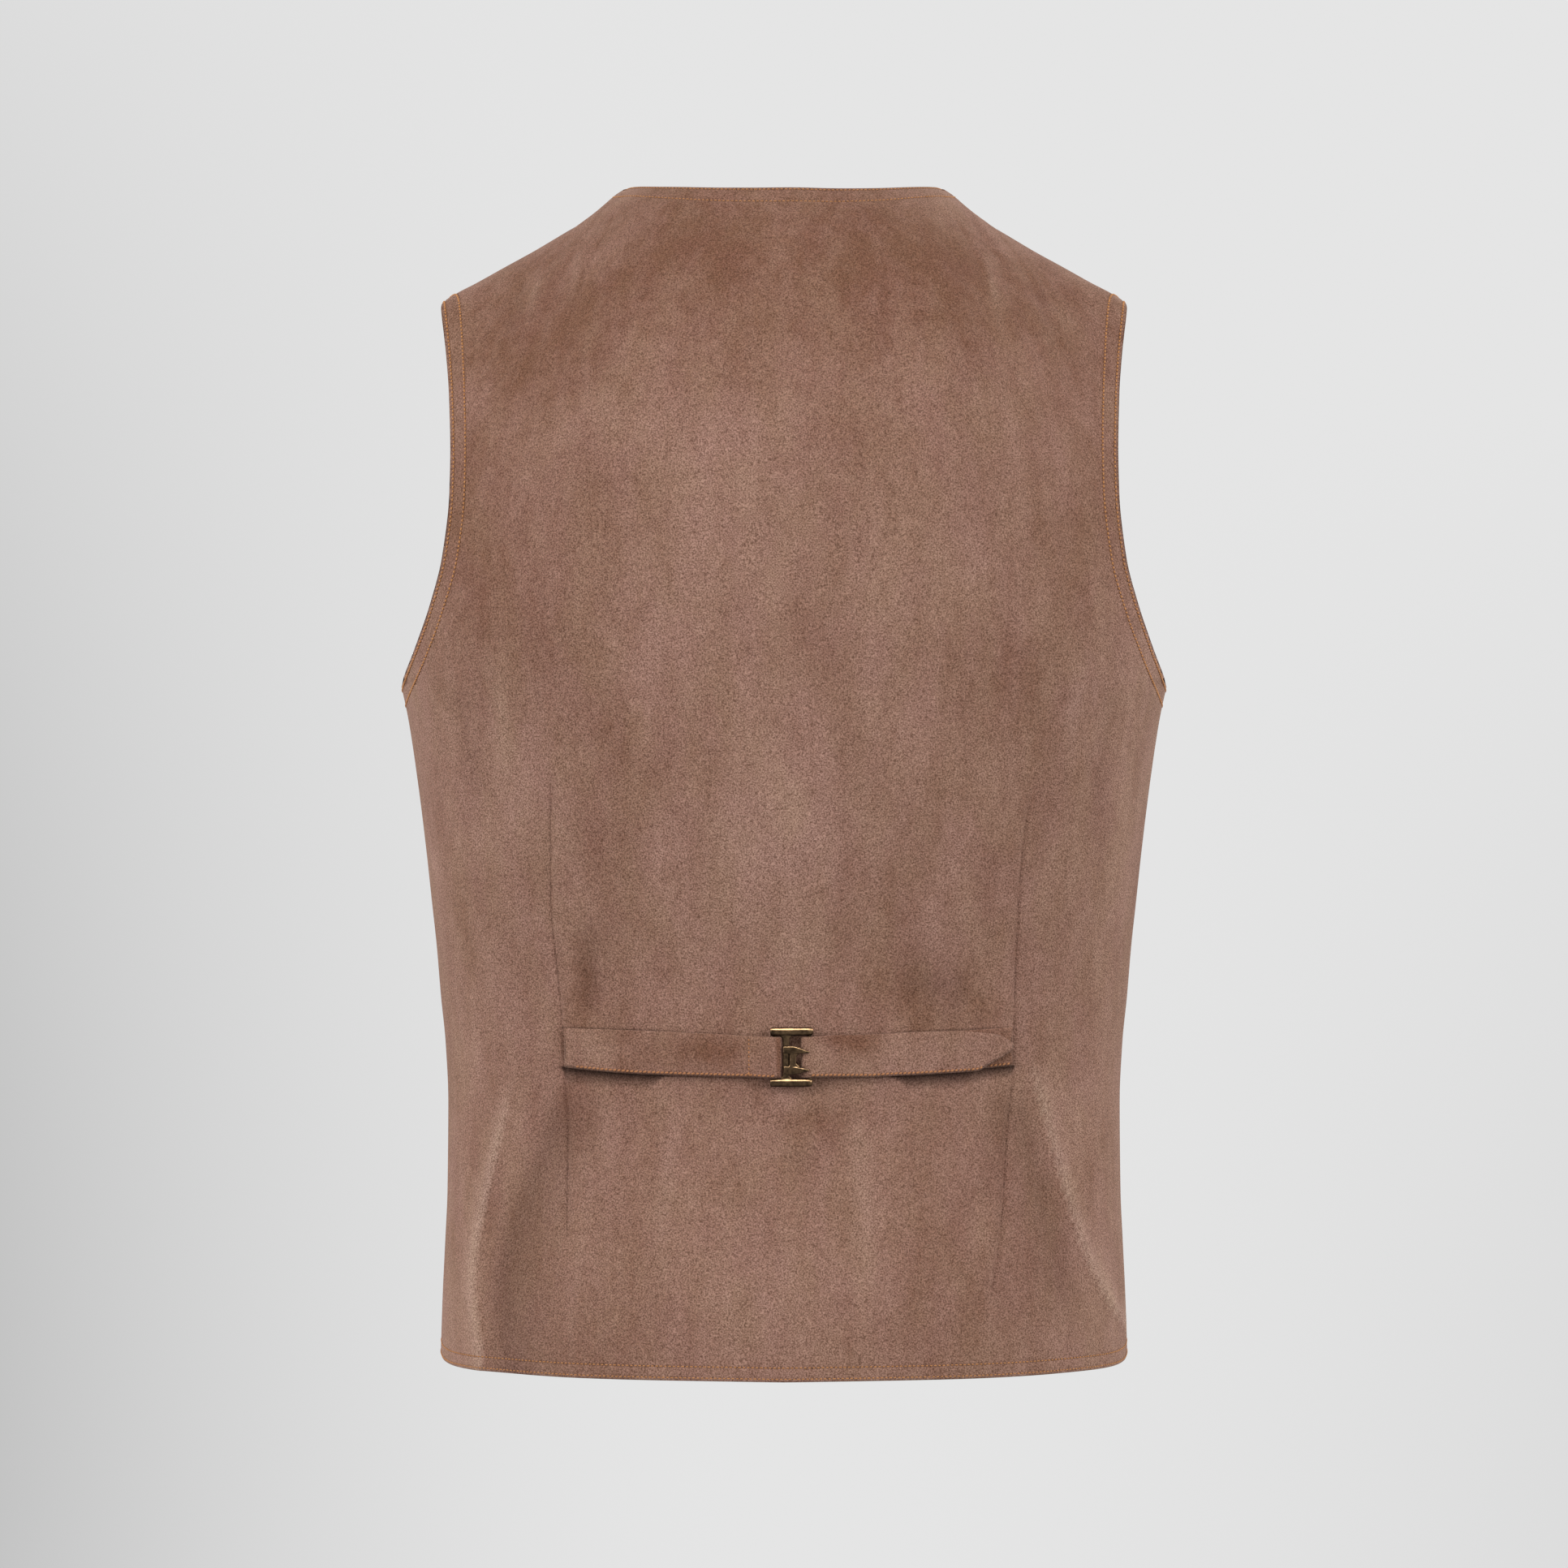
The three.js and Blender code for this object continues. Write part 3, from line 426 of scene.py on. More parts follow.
def crease(x, z, row):
    """A soft trough or ridge along a line of (x, z) places."""
    height, right, left, fade_in, fade_out, line = row
    runs = running_length(line)
    best = np.full_like(x, 1e6)
    side = np.zeros_like(x)
    run = np.zeros_like(x)
    for (ax, az), (bx, bz), start, end in zip(line, line[1:], runs, runs[1:]):
        dx, dz, length = bx - ax, bz - az, end - start
        t = np.clip(((x - ax) * dx + (z - az) * dz) / length ** 2, 0, 1)
        away_x, away_z = x - ax - t * dx, z - az - t * dz
        away = np.hypot(away_x, away_z)
        closer = away < best
        best = np.where(closer, away, best)
        side = np.where(closer, away_x * -dz + away_z * dx, side)
        run = np.where(closer, start + t * length, run)
    spread = np.where(side > 0, left, right)
    alive = smooth(0, fade_in, run) * (smooth(0, fade_out, runs[-1] - run) if fade_out else 1)
    return height * alive, 1 / (1 + (best / spread) ** 2) ** 1.6


def painted_fold_shading(x, z):
    """Painted highlight along the fold crests (above 0) and painted shade in the troughs (below 0), from the
    folds.
    """
    tone = 0
    for row in FOLDS:
        height, share = crease(x, z, row)
        tone = tone + height * share ** (CREST_POWER if row[0] > 0 else TROUGH_POWER)
    return tone


def nap_and_shade_tone(x, z, patches):
    """The tone that soft patches give at a place: the nap's own tone, and painted shade where a patch stands
    in for it.
    """
    tone = 0
    for px, pz, across, up, strength in patches:
        tone = tone + strength * hump(x - px, across) * hump(z - pz, up)
    return tone


def back_relief(p):
    x, y, z = np.moveaxis(p, -1, 0)
    out = ripple(p, SWELLS)
    for row in FOLDS:
        height, share = crease(x, z, row)
        out = out + height * share
    for name, line in darts.items():
        low, high = DART_ENDS[name]
        alive = smooth(low - 6, low + 10, z) * (1 - smooth(high - 10, high + 6, z))
        away = (x - line(z)) / (0.55 + 0.45 * y / DEPTHS[BACK][-1][1])
        roll, half = DART_ROLL["away"], DART_ROLL["half"]
        rolls = hump(away - roll, half) + DART_ROLL["right"] * hump(away + roll, half)
        out = out + alive * (DART_ROLL["height"] * rolls - DART_DEPTH * hump(away, DART_SPREAD))
    band = smooth(PUCKER["low"], PUCKER["low"] + 4, z) * (1 - smooth(PUCKER["high"] - 11, PUCKER["high"], z))
    for i, place in enumerate(PUCKER_XS):
        lean = PUCKER["lean"] * math.sin(i * 2.4)
        away = x - place - lean * (z - PUCKER["middle"])
        out = out - PUCKER["depth"] * band * hump(away, PUCKER["half"])
    return out * smooth(*SEAM_FADE, y)


def front_relief(p):
    return ripple(p + 400, SWELLS) * smooth(*SEAM_FADE, -p[..., 1])


RELIEF = {BACK: back_relief, FRONT: front_relief}


def settle(grid, side, mirror):
    """Keeps a grid on its own side of the seam plane, and mirrors it for the right front."""
    grid[..., 1] = side * np.maximum(side * grid[..., 1], SEAM_HALF_GAP)
    if mirror:
        grid[..., 0] *= -1


# Meshes

def linked(name, data):
    """A new object in the scene."""
    obj = bpy.data.objects.new(name, data)
    bpy.context.collection.objects.link(obj)
    return obj


def mesh_object(name, points, faces):
    """A smooth shaded piece of the garment, from points in millimetres."""
    mesh = bpy.data.meshes.new(name)
    mesh.from_pydata(np.asarray(points, float) / 1000, [], faces)
    mesh.update()
    mesh.shade_smooth()
    obj = linked(name, mesh)
    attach(obj, "root")
    return obj


def volume(points, quads):
    a, b, c, d = (points[quads[:, i]] for i in range(4))
    return (a * (np.cross(b, c) + np.cross(c, d))).sum()


def rim_frame(mid, facing, inward):
    """At each place of a boundary loop: the direction out of the cloth, in its own surface."""
    before, after = np.roll(mid, 1, 0), np.roll(mid, -1, 0)
    out = unit(np.cross(after - before, facing))
    return out * np.sign((out * -inward).sum(-1))[:, None]


RIM_STEPS = 3


def shell(name, outer, inner, fields):
    """A closed sheet of cloth between two grids, with a rounded rim. A field has a value by grid point."""
    rows, columns = outer.shape[:2]
    ids = np.arange(rows * columns).reshape(rows, columns)
    outer, inner = outer.copy(), inner.copy()
    loops = [
        [(0, i) for i in range(columns - 1)], [(j, columns - 1) for j in range(rows - 1)],
        [(rows - 1, i) for i in range(columns - 1, 0, -1)], [(j, 0) for j in range(rows - 1, 0, -1)],
    ]
    loop = [place for run in loops for place in run]
    corners = [0, columns - 1, columns + rows - 2, 2 * columns + rows - 3]
    jj, ii = np.array(loop).T
    inner_j, inner_i = np.clip(jj, 1, rows - 2), np.clip(ii, 1, columns - 2)
    mid = (outer[jj, ii] + inner[jj, ii]) / 2
    thick = outer[jj, ii] - inner[jj, ii]
    radius = np.linalg.norm(thick, axis=-1, keepdims=True) / 2
    facing = unit(thick)
    inward = (outer[inner_j, inner_i] + inner[inner_j, inner_i]) / 2 - mid
    out = rim_frame(mid, facing, inward)
    inset = radius.copy()
    inset[corners] *= 1.41
    centre = mid - out * inset
    outer[jj, ii] = centre + facing * radius
    inner[jj, ii] = centre - facing * radius
    angles = [math.pi * (k + 1) / (RIM_STEPS + 1) for k in range(RIM_STEPS)]
    rims = [centre + radius * (math.cos(a) * facing + math.sin(a) * out) for a in angles]

    grid = [ids[:-1, :-1], ids[:-1, 1:], ids[1:, 1:], ids[1:, :-1]]
    top = np.stack([g.ravel() for g in grid], -1)
    under = top[:, ::-1] + rows * columns
    start = 2 * rows * columns
    count = len(loop)
    rings = [ids[jj, ii]] + [start + k * count + np.arange(count) for k in range(RIM_STEPS)]
    rings.append(ids[jj, ii] + rows * columns)
    sides = [np.stack([a, b, np.roll(b, -1), np.roll(a, -1)], -1) for a, b in zip(rings, rings[1:])]
    quads = np.concatenate([top, under, *sides])
    points = np.concatenate([outer.reshape(-1, 3), inner.reshape(-1, 3), *rims])
    if volume(points, quads) < 0:
        quads = quads[:, ::-1]
    obj = mesh_object(name, points, quads.tolist())
    for field, values in fields.items():
        rim = values[jj, ii]
        layer = obj.data.attributes.new(field, "FLOAT", "POINT")
        by_point = np.concatenate([values.ravel(), values.ravel()] + [rim] * RIM_STEPS)
        layer.data.foreach_set("value", by_point.astype(np.float32))
    return obj


def distance_to(points, line):
    """How far each grid point is from a line of close points."""
    tree = kdtree.KDTree(len(line))
    for i, place in enumerate(line):
        tree.insert(place, i)
    tree.balance()
    flat = points.reshape(-1, 3)
    return np.array([tree.find(p)[2] for p in flat]).reshape(points.shape[:-1])


def spaced(runs):
    """Steps from rows of (end, count), starting at 0."""
    steps, start = [0.0], 0.0
    for end, count in runs:
        steps.extend(np.linspace(start, end, count + 1)[1:])
        start = end
    return np.array(steps)


HEM_STEPS = [0, 1.6, 2.6, 3.8, 5.2, 6.1, 7.0, 7.9, 8.8, 10.2, 12.5]
BACK_HALF_COLUMNS = spaced([(0.405, 36), (0.42, 4), (0.44, 16), (0.455, 4), (0.965, 44), (0.992, 8), (1, 2)])
hem_rows = -1 + np.array(HEM_STEPS) / LOWER_LENGTH
LOWER_ROWS = np.concatenate([hem_rows, np.linspace(hem_rows[-1], 0, 88)[1:]])
UPPER_ROWS = spaced([(0.955, 78), (0.988, 6), (1, 3)])[1:]
ROWS = np.concatenate([LOWER_ROWS, UPPER_ROWS])
FRONT_COLUMNS = spaced([(0.008, 1), (0.045, 8), (0.955, 72), (0.988, 7), (1, 2)])


def armhole_share(side, h):
    """The column share at which a row of the upper body meets the armhole edge."""
    def inside(w):
        p = upper(side, w, h)
        return p[..., 0] < armholes[side](p[..., 2])
    return bisect(inside, np.full_like(h, 0.5), np.ones_like(h))


def closing_share(h):
    """The column share of a front's free edge at each row."""
    z = lerp(ARMPIT_Z, HEM_Z - FRONT_HEM_DROP, np.clip(-h, 0, 1))
    x = front_edge(z)
    below = np.sign(x) * section_share(np.abs(x), z)

    def inside(w):
        p = upper(FRONT, np.abs(w), np.clip(h, 0, 1))
        return p[..., 0] * np.where(w < 0, -1, 1) < front_edge(p[..., 2])
    above = bisect(inside, np.full_like(h, -0.2), np.full_like(h, NECK_SHARE))
    return np.where(h <= 0, below, np.where(h > 0.9999, NECK_SHARE, above))


def follow_dart(w, z):
    """Moves the columns so that the close ones follow the dart line."""
    line = np.where(w < 0, -darts["right"](z), darts["left"](z))
    target = section_share(line, z)
    share = np.abs(w)
    outside = target + (share - DART_SHARE) / (1 - DART_SHARE) * (1 - target)
    return np.sign(w) * np.where(share < DART_SHARE, share / DART_SHARE * target, outside)


def back_shares():
    columns = np.concatenate([-BACK_HALF_COLUMNS[:0:-1], BACK_HALF_COLUMNS])
    w, h = np.meshgrid(columns, ROWS)
    z = lerp(ARMPIT_Z, HEM_Z, np.clip(-h, 0, 1))
    w = lerp(follow_dart(w, z), w, smooth(0, 0.5, h))
    reach = np.where(ROWS <= 0, 1, armhole_share(BACK, np.clip(ROWS, 0, 1)))[:, None]
    return w - np.sign(w) * (1 - reach) * w ** 2, h


def front_shares():
    t, h = np.meshgrid(FRONT_COLUMNS, ROWS)
    start = closing_share(ROWS)[:, None]
    reach = np.where(ROWS <= 0, 1, armhole_share(FRONT, np.clip(ROWS, 0, 1)))[:, None]
    return lerp(start, reach, t), h


def edge_lines(side):
    """Each edge of a panel as lines of close (w, h) places."""
    steps = np.linspace(0, 1, 700)
    if side == BACK:
        w = np.linspace(-1, 1, 1400)
        neck = np.linspace(-NECK_SHARE, NECK_SHARE, 500)
        reach = armhole_share(BACK, steps)
        return {
            "hem": [(w, np.full_like(w, -1))],
            "armhole": [(reach, steps), (-reach, steps)],
            "neck": [(neck, np.ones_like(neck))],
        }
    rows = np.linspace(-1, 1, 1600)
    w = np.linspace(closing_share(np.array([-1.0]))[0], 1, 700)
    return {
        "hem": [(w, np.full_like(w, -1))],
        "armhole": [(armhole_share(FRONT, steps), steps)],
        "closing": [(closing_share(rows), rows)],
    }


def fields_of(side, points):
    fields = {}
    for name, lines in edge_lines(side).items():
        edges = np.concatenate([body(side, w, h) for w, h in lines])
        fields[name] = distance_to(points, edges)
    return fields


SEWN_ROWS = {"hem": HEM_ROWS, "armhole": ARMHOLE_ROWS, "neck": NECK_ROWS, "closing": CLOSING_ROWS}


def sewn_relief(fields):
    """The dips that the rows of stitches pull into the cloth."""
    out = 0
    for name, distance in fields.items():
        for row in SEWN_ROWS.get(name, ()):
            out = out - GROOVE_DEPTH * hump(distance - row, GROOVE_HALF)
    return out


def dress(side, w, h, lift=0.0, mirror=False):
    """The outer and inner grids of a panel and its fields."""
    p = body(side, w, h)
    n = normal(side, w, h)
    fields = fields_of(side, p)
    relief = RELIEF[side](p)
    outer = p + n * (relief + sewn_relief(fields) + lift)[..., None]
    inner = p + n * (relief + lift - CLOTH)[..., None]
    for grid in (outer, inner):
        settle(grid, side, mirror)
    return outer, inner, fields


def make_back():
    w, h = back_shares()
    outer, inner, fields = dress(BACK, w, h)
    x, z = outer[..., 0], outer[..., 2]
    from_darts = []
    for name, line in darts.items():
        low, high = DART_ENDS[name]
        from_darts.append(np.hypot(x - line(z), np.maximum(low - z, z - high).clip(0)))
    # Fields for painted shadow below the straps' lower edges and a painted shade line above their upper
    # edges
    top, foot, gap = [curve([(row[0], row[k]) for row in STRAP_SHADE])(x) for k in (1, 2, 3)]
    fields["dart"] = np.minimum(*from_darts)
    # Painted highlight on the fold crests and painted shade in the troughs
    fields["painted_fold_shading"] = painted_fold_shading(x, z)
    # The nap's tone together with painted shade
    fields["nap_and_shade"] = nap_and_shade_tone(x, z, NAP_AND_SHADE_PATCHES)
    fields["above"] = z - top
    fields["below"] = foot - z
    fields["gap"] = gap
    return shell("back_cloth", outer, inner, fields)


def underlap(w, h):
    """How far the right front's edge lies under the left one's."""
    return -UNDERLAP_DEPTH * (1 - smooth(*UNDERLAP_SPAN, body(FRONT, w, h)[..., 0]))


def make_front(name, tuck=None, mirror=False):
    w, h = front_shares()
    outer, inner, fields = dress(FRONT, w, h, tuck(w, h) if tuck else 0.0, mirror)
    return shell(name, outer, inner, fields)


# Stitches

def stitch_shape(sides=6):
    """A short low thread with ends that dip into the cloth: points with unit length, and its faces."""
    rings = [(-0.42, 0.62, 0.1), (-0.2, 1, 0.55), (0.2, 1, 0.55), (0.42, 0.62, 0.1)]
    points = [(-0.5, 0, -0.3)]
    for x, width, lift in rings:
        for k in range(sides):
            a = math.pi * 2 * k / sides
            points.append((x, math.cos(a) * 0.5 * width, math.sin(a) * 0.5 * width + lift - 0.2))
    points.append((0.5, 0, -0.3))
    around = [(k, (k + 1) % sides) for k in range(sides)]
    faces = [(0, 1 + after, 1 + k) for k, after in around]
    for j in range(len(rings) - 1):
        a, b = 1 + sides * j, 1 + sides * (j + 1)
        faces += [(a + k, a + after, b + after, b + k) for k, after in around]
    end, last = len(points) - 1, len(points) - 1 - sides
    faces += [(end, last + k, last + after) for k, after in around]
    return np.array(points), faces


THREAD_POINTS, THREAD_FACES = stitch_shape()


def sample(spots, keys, values):
    """Places, or directions, at spots between the keys of a table of them."""
    return np.stack([np.interp(spots, keys, values[:, k]) for k in range(3)], -1)


def along(points, pitch):
    """Places at an even pitch on a line of points, with the direction and the source position of each."""
    run = running_length(points)
    count = max(int(run[-1] / pitch), 1)
    spots = (np.arange(count) + 0.5) * run[-1] / count
    tangent = unit(sample(spots + 0.5, run, points) - sample(spots - 0.5, run, points))
    return sample(spots, run, points), tangent, np.interp(spots, run, np.arange(len(points)))


def stitches(points, facing, slant=0.0, pitch=STITCH_PITCH, size=STITCH):
    """The points of one stitch after the other along a line on the cloth."""
    place, tangent, source = along(points, pitch)
    up = unit(sample(source, np.arange(len(facing)), facing))
    side = unit(np.cross(up, tangent))
    length = math.cos(slant) * tangent + math.sin(slant) * side
    across = unit(np.cross(up, length))
    wobble = 1 + 0.12 * np.sin(np.arange(len(place)) * 2.399)
    x, y, z = (THREAD_POINTS * (size["length"], size["width"], size["height"])).T[..., None]
    grown = x * (wobble[:, None] * length)[:, None, :]
    return place[:, None, :] + grown + y * across[:, None, :] + z * up[:, None, :]


def join_stitches(name, groups):
    points = np.concatenate([g.reshape(-1, 3) for g in groups])
    count = len(points) // len(THREAD_POINTS)
    faces = [tuple(v + k * len(THREAD_POINTS) for v in face) for k in range(count) for face in THREAD_FACES]
    return mesh_object(name, points, faces)


def sewn_line(side, w, h, row, inward, tuck=None, mirror=False):
    """A line at a distance from an edge, on the dressed cloth, with the cloth's normal."""
    edge = body(side, w, h)
    tangent = unit(np.gradient(edge, axis=0))
    into = unit(np.cross(normal(side, w, h), tangent))
    into = into * np.sign((into * inward).sum(-1, keepdims=True))
    w, h = nearest(side, w, h, edge + into * row)
    p = body(side, w, h)
    n = normal(side, w, h)
    out = RELIEF[side](p) - STITCH_SINK + (tuck(w, h) if tuck else 0)
    line = p + n * out[:, None]
    settle(line, side, mirror)
    if mirror:
        n[:, 0] *= -1
    return line, n


# The way into the cloth from each edge: a direction, or the column share that lies that way
INWARD = {"hem": (0, 0, 1), "neck": (0, 0, -1), "armhole": 0.35, "closing": 0.95}


def sew(side, name, tuck=None, mirror=False):
    """The stitches of one panel."""
    groups = []
    for edge, lines in edge_lines(side).items():
        for w, h in lines:
            inward = INWARD[edge]
            if np.isscalar(inward):
                share = inward * (1 if edge == "closing" else np.sign(w[len(w) // 2]))
                inward = body(side, share + 0 * w, h) - body(side, w, h)
            size = ARMHOLE_STITCH if edge == "armhole" else PANEL_STITCH
            for row in SEWN_ROWS[edge]:
                groups.append(stitches(*sewn_line(side, w, h, row, inward, tuck, mirror), size=size))
    return join_stitches(name, groups)


# Straps. Each row: x, distance of the layer's middle off the back, upper and lower edge height.
UNDER = 1.0
OVER = 5.0
STRAP = 1.2
STRAP_STEP = 0.65
STRAP_ACROSS = np.array([0, 0.04, 0.1, 0.2, 0.32, 0.44, 0.56, 0.68, 0.8, 0.88, 0.93, 0.97, 1])
# How much thicker the strap is in its middle, and thinner along its row of stitches
STRAP_PUFF = 0.18
STRAP_DIP = {"share": 0.9, "half": 0.04, "depth": 0.22}
# Painted shade on the hidden layer, under the upper one, and the upright row that holds the left strap's end
UNDER_SHADE = -1.6
UPPER_FROM = 2.1
BAR_X = 17.0
BAR_OFF = 4.9
BAR_HEIGHTS = (-414.8, -433.0)
BAR_STITCH = {"length": 1.2, "width": 0.6, "height": 0.35}
BAR_PITCH = 1.9
LEFT_STRAP = [
    (107.6, 1.6, -410.8, -430.4), (98, 2.4, -411.0, -431.3), (86, 3.0, -411.2, -432.2),
    (74, 3.2, -411.5, -432.9), (60, 3.0, -411.9, -433.4), (46, 2.9, -412.5, -433.8),
    (34, 2.9, -412.9, -434.0), (25, 3.2, -413.3, -434.2), (16, 4.1, -413.8, -434.2),
    (10, 4.9, -414.1, -434.5), (5.6, OVER, -414.2, -434.6), (3.2, OVER - 0.2, -414.3, -434.6),
    (2.1, OVER - 0.9, -414.3, -434.6), (1.8, 3.0, -414.3, -434.6), (2.1, UNDER + 0.9, -414.3, -434.6),
    (3.2, UNDER + 0.2, -414.3, -434.6), (6, UNDER, -414.2, -434.6), (10, UNDER, -414.1, -434.5),
    (18, UNDER, -413.8, -434.2),
]
RIGHT_STRAP = [
    (-112.2, 1.3, -410.5, -429.8), (-104, 1.1, -411.0, -430.4), (-92, UNDER, -411.6, -431.2),
    (-76, UNDER, -412.2, -432.2), (-60, UNDER, -412.7, -433.0), (-44, UNDER, -413.2, -433.6),
    (-30, UNDER, -413.6, -434.0), (-18, UNDER, -414.0, -434.3), (-13, UNDER, -414.2, -434.4),
    (-10.6, UNDER + 0.2, -414.3, -434.4), (-9.4, UNDER + 0.9, -414.4, -434.4), (-9.0, 3.0, -414.4, -434.4),
    (-9.4, OVER - 0.9, -414.4, -434.4), (-10.6, OVER - 0.2, -414.3, -434.4), (-13, OVER, -414.2, -434.3),
    (-17, 4.9, -413.9, -434.2), (-23, 4.2, -413.5, -434.2), (-30, 3.5, -413.4, -434.3),
    (-41, 3.1, -413.3, -434.4), (-52, 3.2, -412.8, -433.9), (-64, 3.5, -412.2, -433.5),
    (-76, 3.8, -412.0, -432.9), (-86, 3.7, -412.0, -432.4), (-94, 3.6, -412.6, -431.9),
    (-99, 3.7, -413.2, -429.3), (-104, 3.8, -413.9, -426.3), (-109, 3.9, -416.6, -423.4),
    (-111.6, 3.9, -418.4, -421.6),
]


def strap_path(rows):
    """The strap's rows at close, even steps of its own length."""
    table = np.array(rows, float)
    run = running_length(table[:, :2])
    steps = np.linspace(0, run[-1], int(run[-1] / STRAP_STEP))
    return np.stack([curve(list(zip(run, table[:, k])))(steps) for k in range(4)], -1)




def strap_layers(path):
    """The outer and inner grids of a strap."""
    x, out, top, bottom = (path[:, k, None] for k in range(4))
    run = np.gradient(path[:, :2], axis=0)
    side = unit(np.stack([run[:, 1], -run[:, 0]], -1))
    z = lerp(top, bottom, STRAP_ACROSS)
    dip = STRAP_DIP["depth"] * hump(STRAP_ACROSS - STRAP_DIP["share"], STRAP_DIP["half"])
    half = STRAP / 2 + STRAP_PUFF * np.sin(STRAP_ACROSS * math.pi) ** 0.5 - dip
    across, off = side[:, :1] * half, side[:, 1:] * half
    return [place_on(BACK, x + sign * across, z, out + sign * off)[0] for sign in (1, -1)]


def make_strap(name, rows, node):
    path = strap_path(rows)
    outer, inner = strap_layers(path)
    x, out, top, bottom = (path[:, k, None] for k in range(4))
    # The hidden layer gets painted shade in place of the nap's tone
    under = (out < 2) & (x < 20)
    nap_and_shade = nap_and_shade_tone(x, lerp(top, bottom, STRAP_ACROSS), STRAP_NAP_AND_SHADE_PATCHES)
    fields = {"strap": (top - bottom) * (1 - STRAP_ACROSS), "nap_and_shade": np.where(under, UNDER_SHADE, nap_and_shade)}
    obj = shell(name, outer, inner, fields)
    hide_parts(node)
    return obj


# Pieces of cloth
back = make_back()
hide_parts("back")
front_left = make_front("front_left_cloth")
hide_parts("front_left")
front_right = make_front("front_right_cloth", underlap, True)
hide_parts("front_right")
strap_left = make_strap("strap_left_cloth", LEFT_STRAP, "strap_left")
strap_right = make_strap("strap_right_cloth", RIGHT_STRAP, "strap_right")


def strap_stitches(rows, spans):
    """The row along a strap's lower edge, over the spans of x where its upper or under layer shows."""
    groups = []
    x, out, _, bottom = strap_path(rows).T
    for low, high, upper_layer in spans:
        keep = (x > low) & (x < high) & ((out > UPPER_FROM) == upper_layer)
        _, facing = place_on(BACK, x[keep], bottom[keep])
        line, _ = place_on(BACK, x[keep], bottom[keep] + STRAP_ROW, out[keep] + STRAP / 2 + 0.02)
        groups.append(stitches(line, facing, STITCH_SLANT))
    return groups


def strap_bar():
    """A short upright row that holds a strap's folded end, closed by a knot at its foot."""
    z = np.linspace(*BAR_HEIGHTS, 20)
    line, facing = place_on(BACK, BAR_X + 0 * z, z, BAR_OFF)
    knot = line[-2:] + facing[-2:] * 0.2
    return [stitches(line, facing, 0.2, BAR_PITCH, BAR_STITCH), stitches(knot, facing[-2:], 1.2, 1.0)]


sewing = [
    sew(BACK, "stitches_back"),
    sew(FRONT, "stitches_front_left"),
    sew(FRONT, "stitches_front_right", underlap, True),
]


# Buckle, in its own frame: x runs to the wearer's right, y up, z off the back
BUCKLE_X = -4.1
BUCKLE_Z = -424.3
# Each bar as end faces: x, low and high y, low and high z
RAIL_RINGS = {
    "top": [
        (-11.0, 11.1, 14.1, 2.4, 3.9), (-10.6, 10.4, 14.8, 1.9, 4.4), (-9.6, 10.3, 14.9, 1.7, 4.6),
        (8.4, 10.4, 15.0, 1.7, 4.6), (9.6, 10.6, 14.8, 1.9, 4.4), (10.3, 11.6, 14.2, 2.4, 3.9),
    ],
    "bottom": [
        (-11.1, -13.8, -11.2, 2.4, 3.9), (-10.6, -14.6, -10.4, 1.9, 4.4), (-9.6, -14.7, -10.2, 1.7, 4.6),
        (8.0, -14.6, -10.1, 1.7, 4.6), (9.2, -14.5, -10.4, 1.9, 4.4), (9.9, -13.7, -11.1, 2.4, 3.9),
    ],
}
UPRIGHT_RINGS = {
    "left": [(-9.3, -12, 12, 2.3, 3.7), (-7.7, -12, 12, 2.3, 3.7)],
    "middle": [(-4.7, -12, 12, 2.2, 3.9), (-1.5, -12, 12, 2.2, 3.9)],
    "right": [(7.6, -12, 12, 2.3, 3.7), (9.2, -12, 12, 2.3, 3.7)],
    "top flare": [
        (-6.0, 10.4, 12, 2.4, 3.7), (-4.9, 9.2, 12, 2.3, 3.8), (-1.3, 9.2, 12, 2.3, 3.8),
        (-0.2, 10.4, 12, 2.4, 3.7),
    ],
    "low flare": [
        (-6.0, -12, -10.4, 2.4, 3.7), (-4.9, -12, -9.2, 2.3, 3.8), (-1.3, -12, -9.2, 2.3, 3.8),
        (-0.2, -12, -10.4, 2.4, 3.7),
    ],
}
PRONG_RINGS = {
    "upper tooth": [
        (-4.6, 2.1, 5.5, 4.1, 5.5), (-2.0, 2.0, 5.6, 4.2, 6.0), (0.9, 1.9, 5.6, 4.7, 6.4),
        (3.6, 2.0, 4.7, 5.5, 6.9), (6.2, 2.1, 3.7, 5.6, 7.0), (8.3, 2.4, 3.2, 5.7, 6.6),
    ],
    "lower tooth": [
        (-4.4, -8.2, -4.2, 4.1, 5.5), (-2.0, -8.3, -4.3, 4.2, 6.0), (0.9, -8.3, -4.5, 4.7, 6.4),
        (3.6, -7.8, -4.8, 5.5, 6.9), (6.2, -7.0, -5.3, 5.6, 7.0), (8.2, -6.5, -5.7, 5.7, 6.6),
    ],
    "spine": [(-1.4, -5.0, 2.6, 4.4, 6.1), (1.9, -5.0, 2.6, 4.5, 6.3)],
    "spine top": [
        (-1.7, 1.6, 2.8, 4.4, 6.1), (-0.6, 0.4, 2.8, 4.4, 6.1), (1.8, 0.4, 2.8, 4.5, 6.2),
        (3.3, 1.6, 2.8, 4.9, 6.4),
    ],
    "spine foot": [
        (-1.7, -5.2, -4.0, 4.4, 6.1), (-0.6, -5.2, -2.8, 4.4, 6.1), (1.8, -5.2, -2.8, 4.5, 6.2),
        (3.3, -5.2, -4.0, 4.9, 6.4),
    ],
}
# How the bars are rounded and cast into one: in millimetres, but the modifiers' own settings in metres
CASTING_VOXEL = 0.17
RING_STEP = 1.5
ROUND_BAR = ("SUBSURF", {"levels": 2})
ROUND_EDGES = ("BEVEL", {"width": 0.0005, "segments": 3, "angle_limit": 0.6})
CASTING_ROUNDS = 6
CASTING_KEPT = 0.5


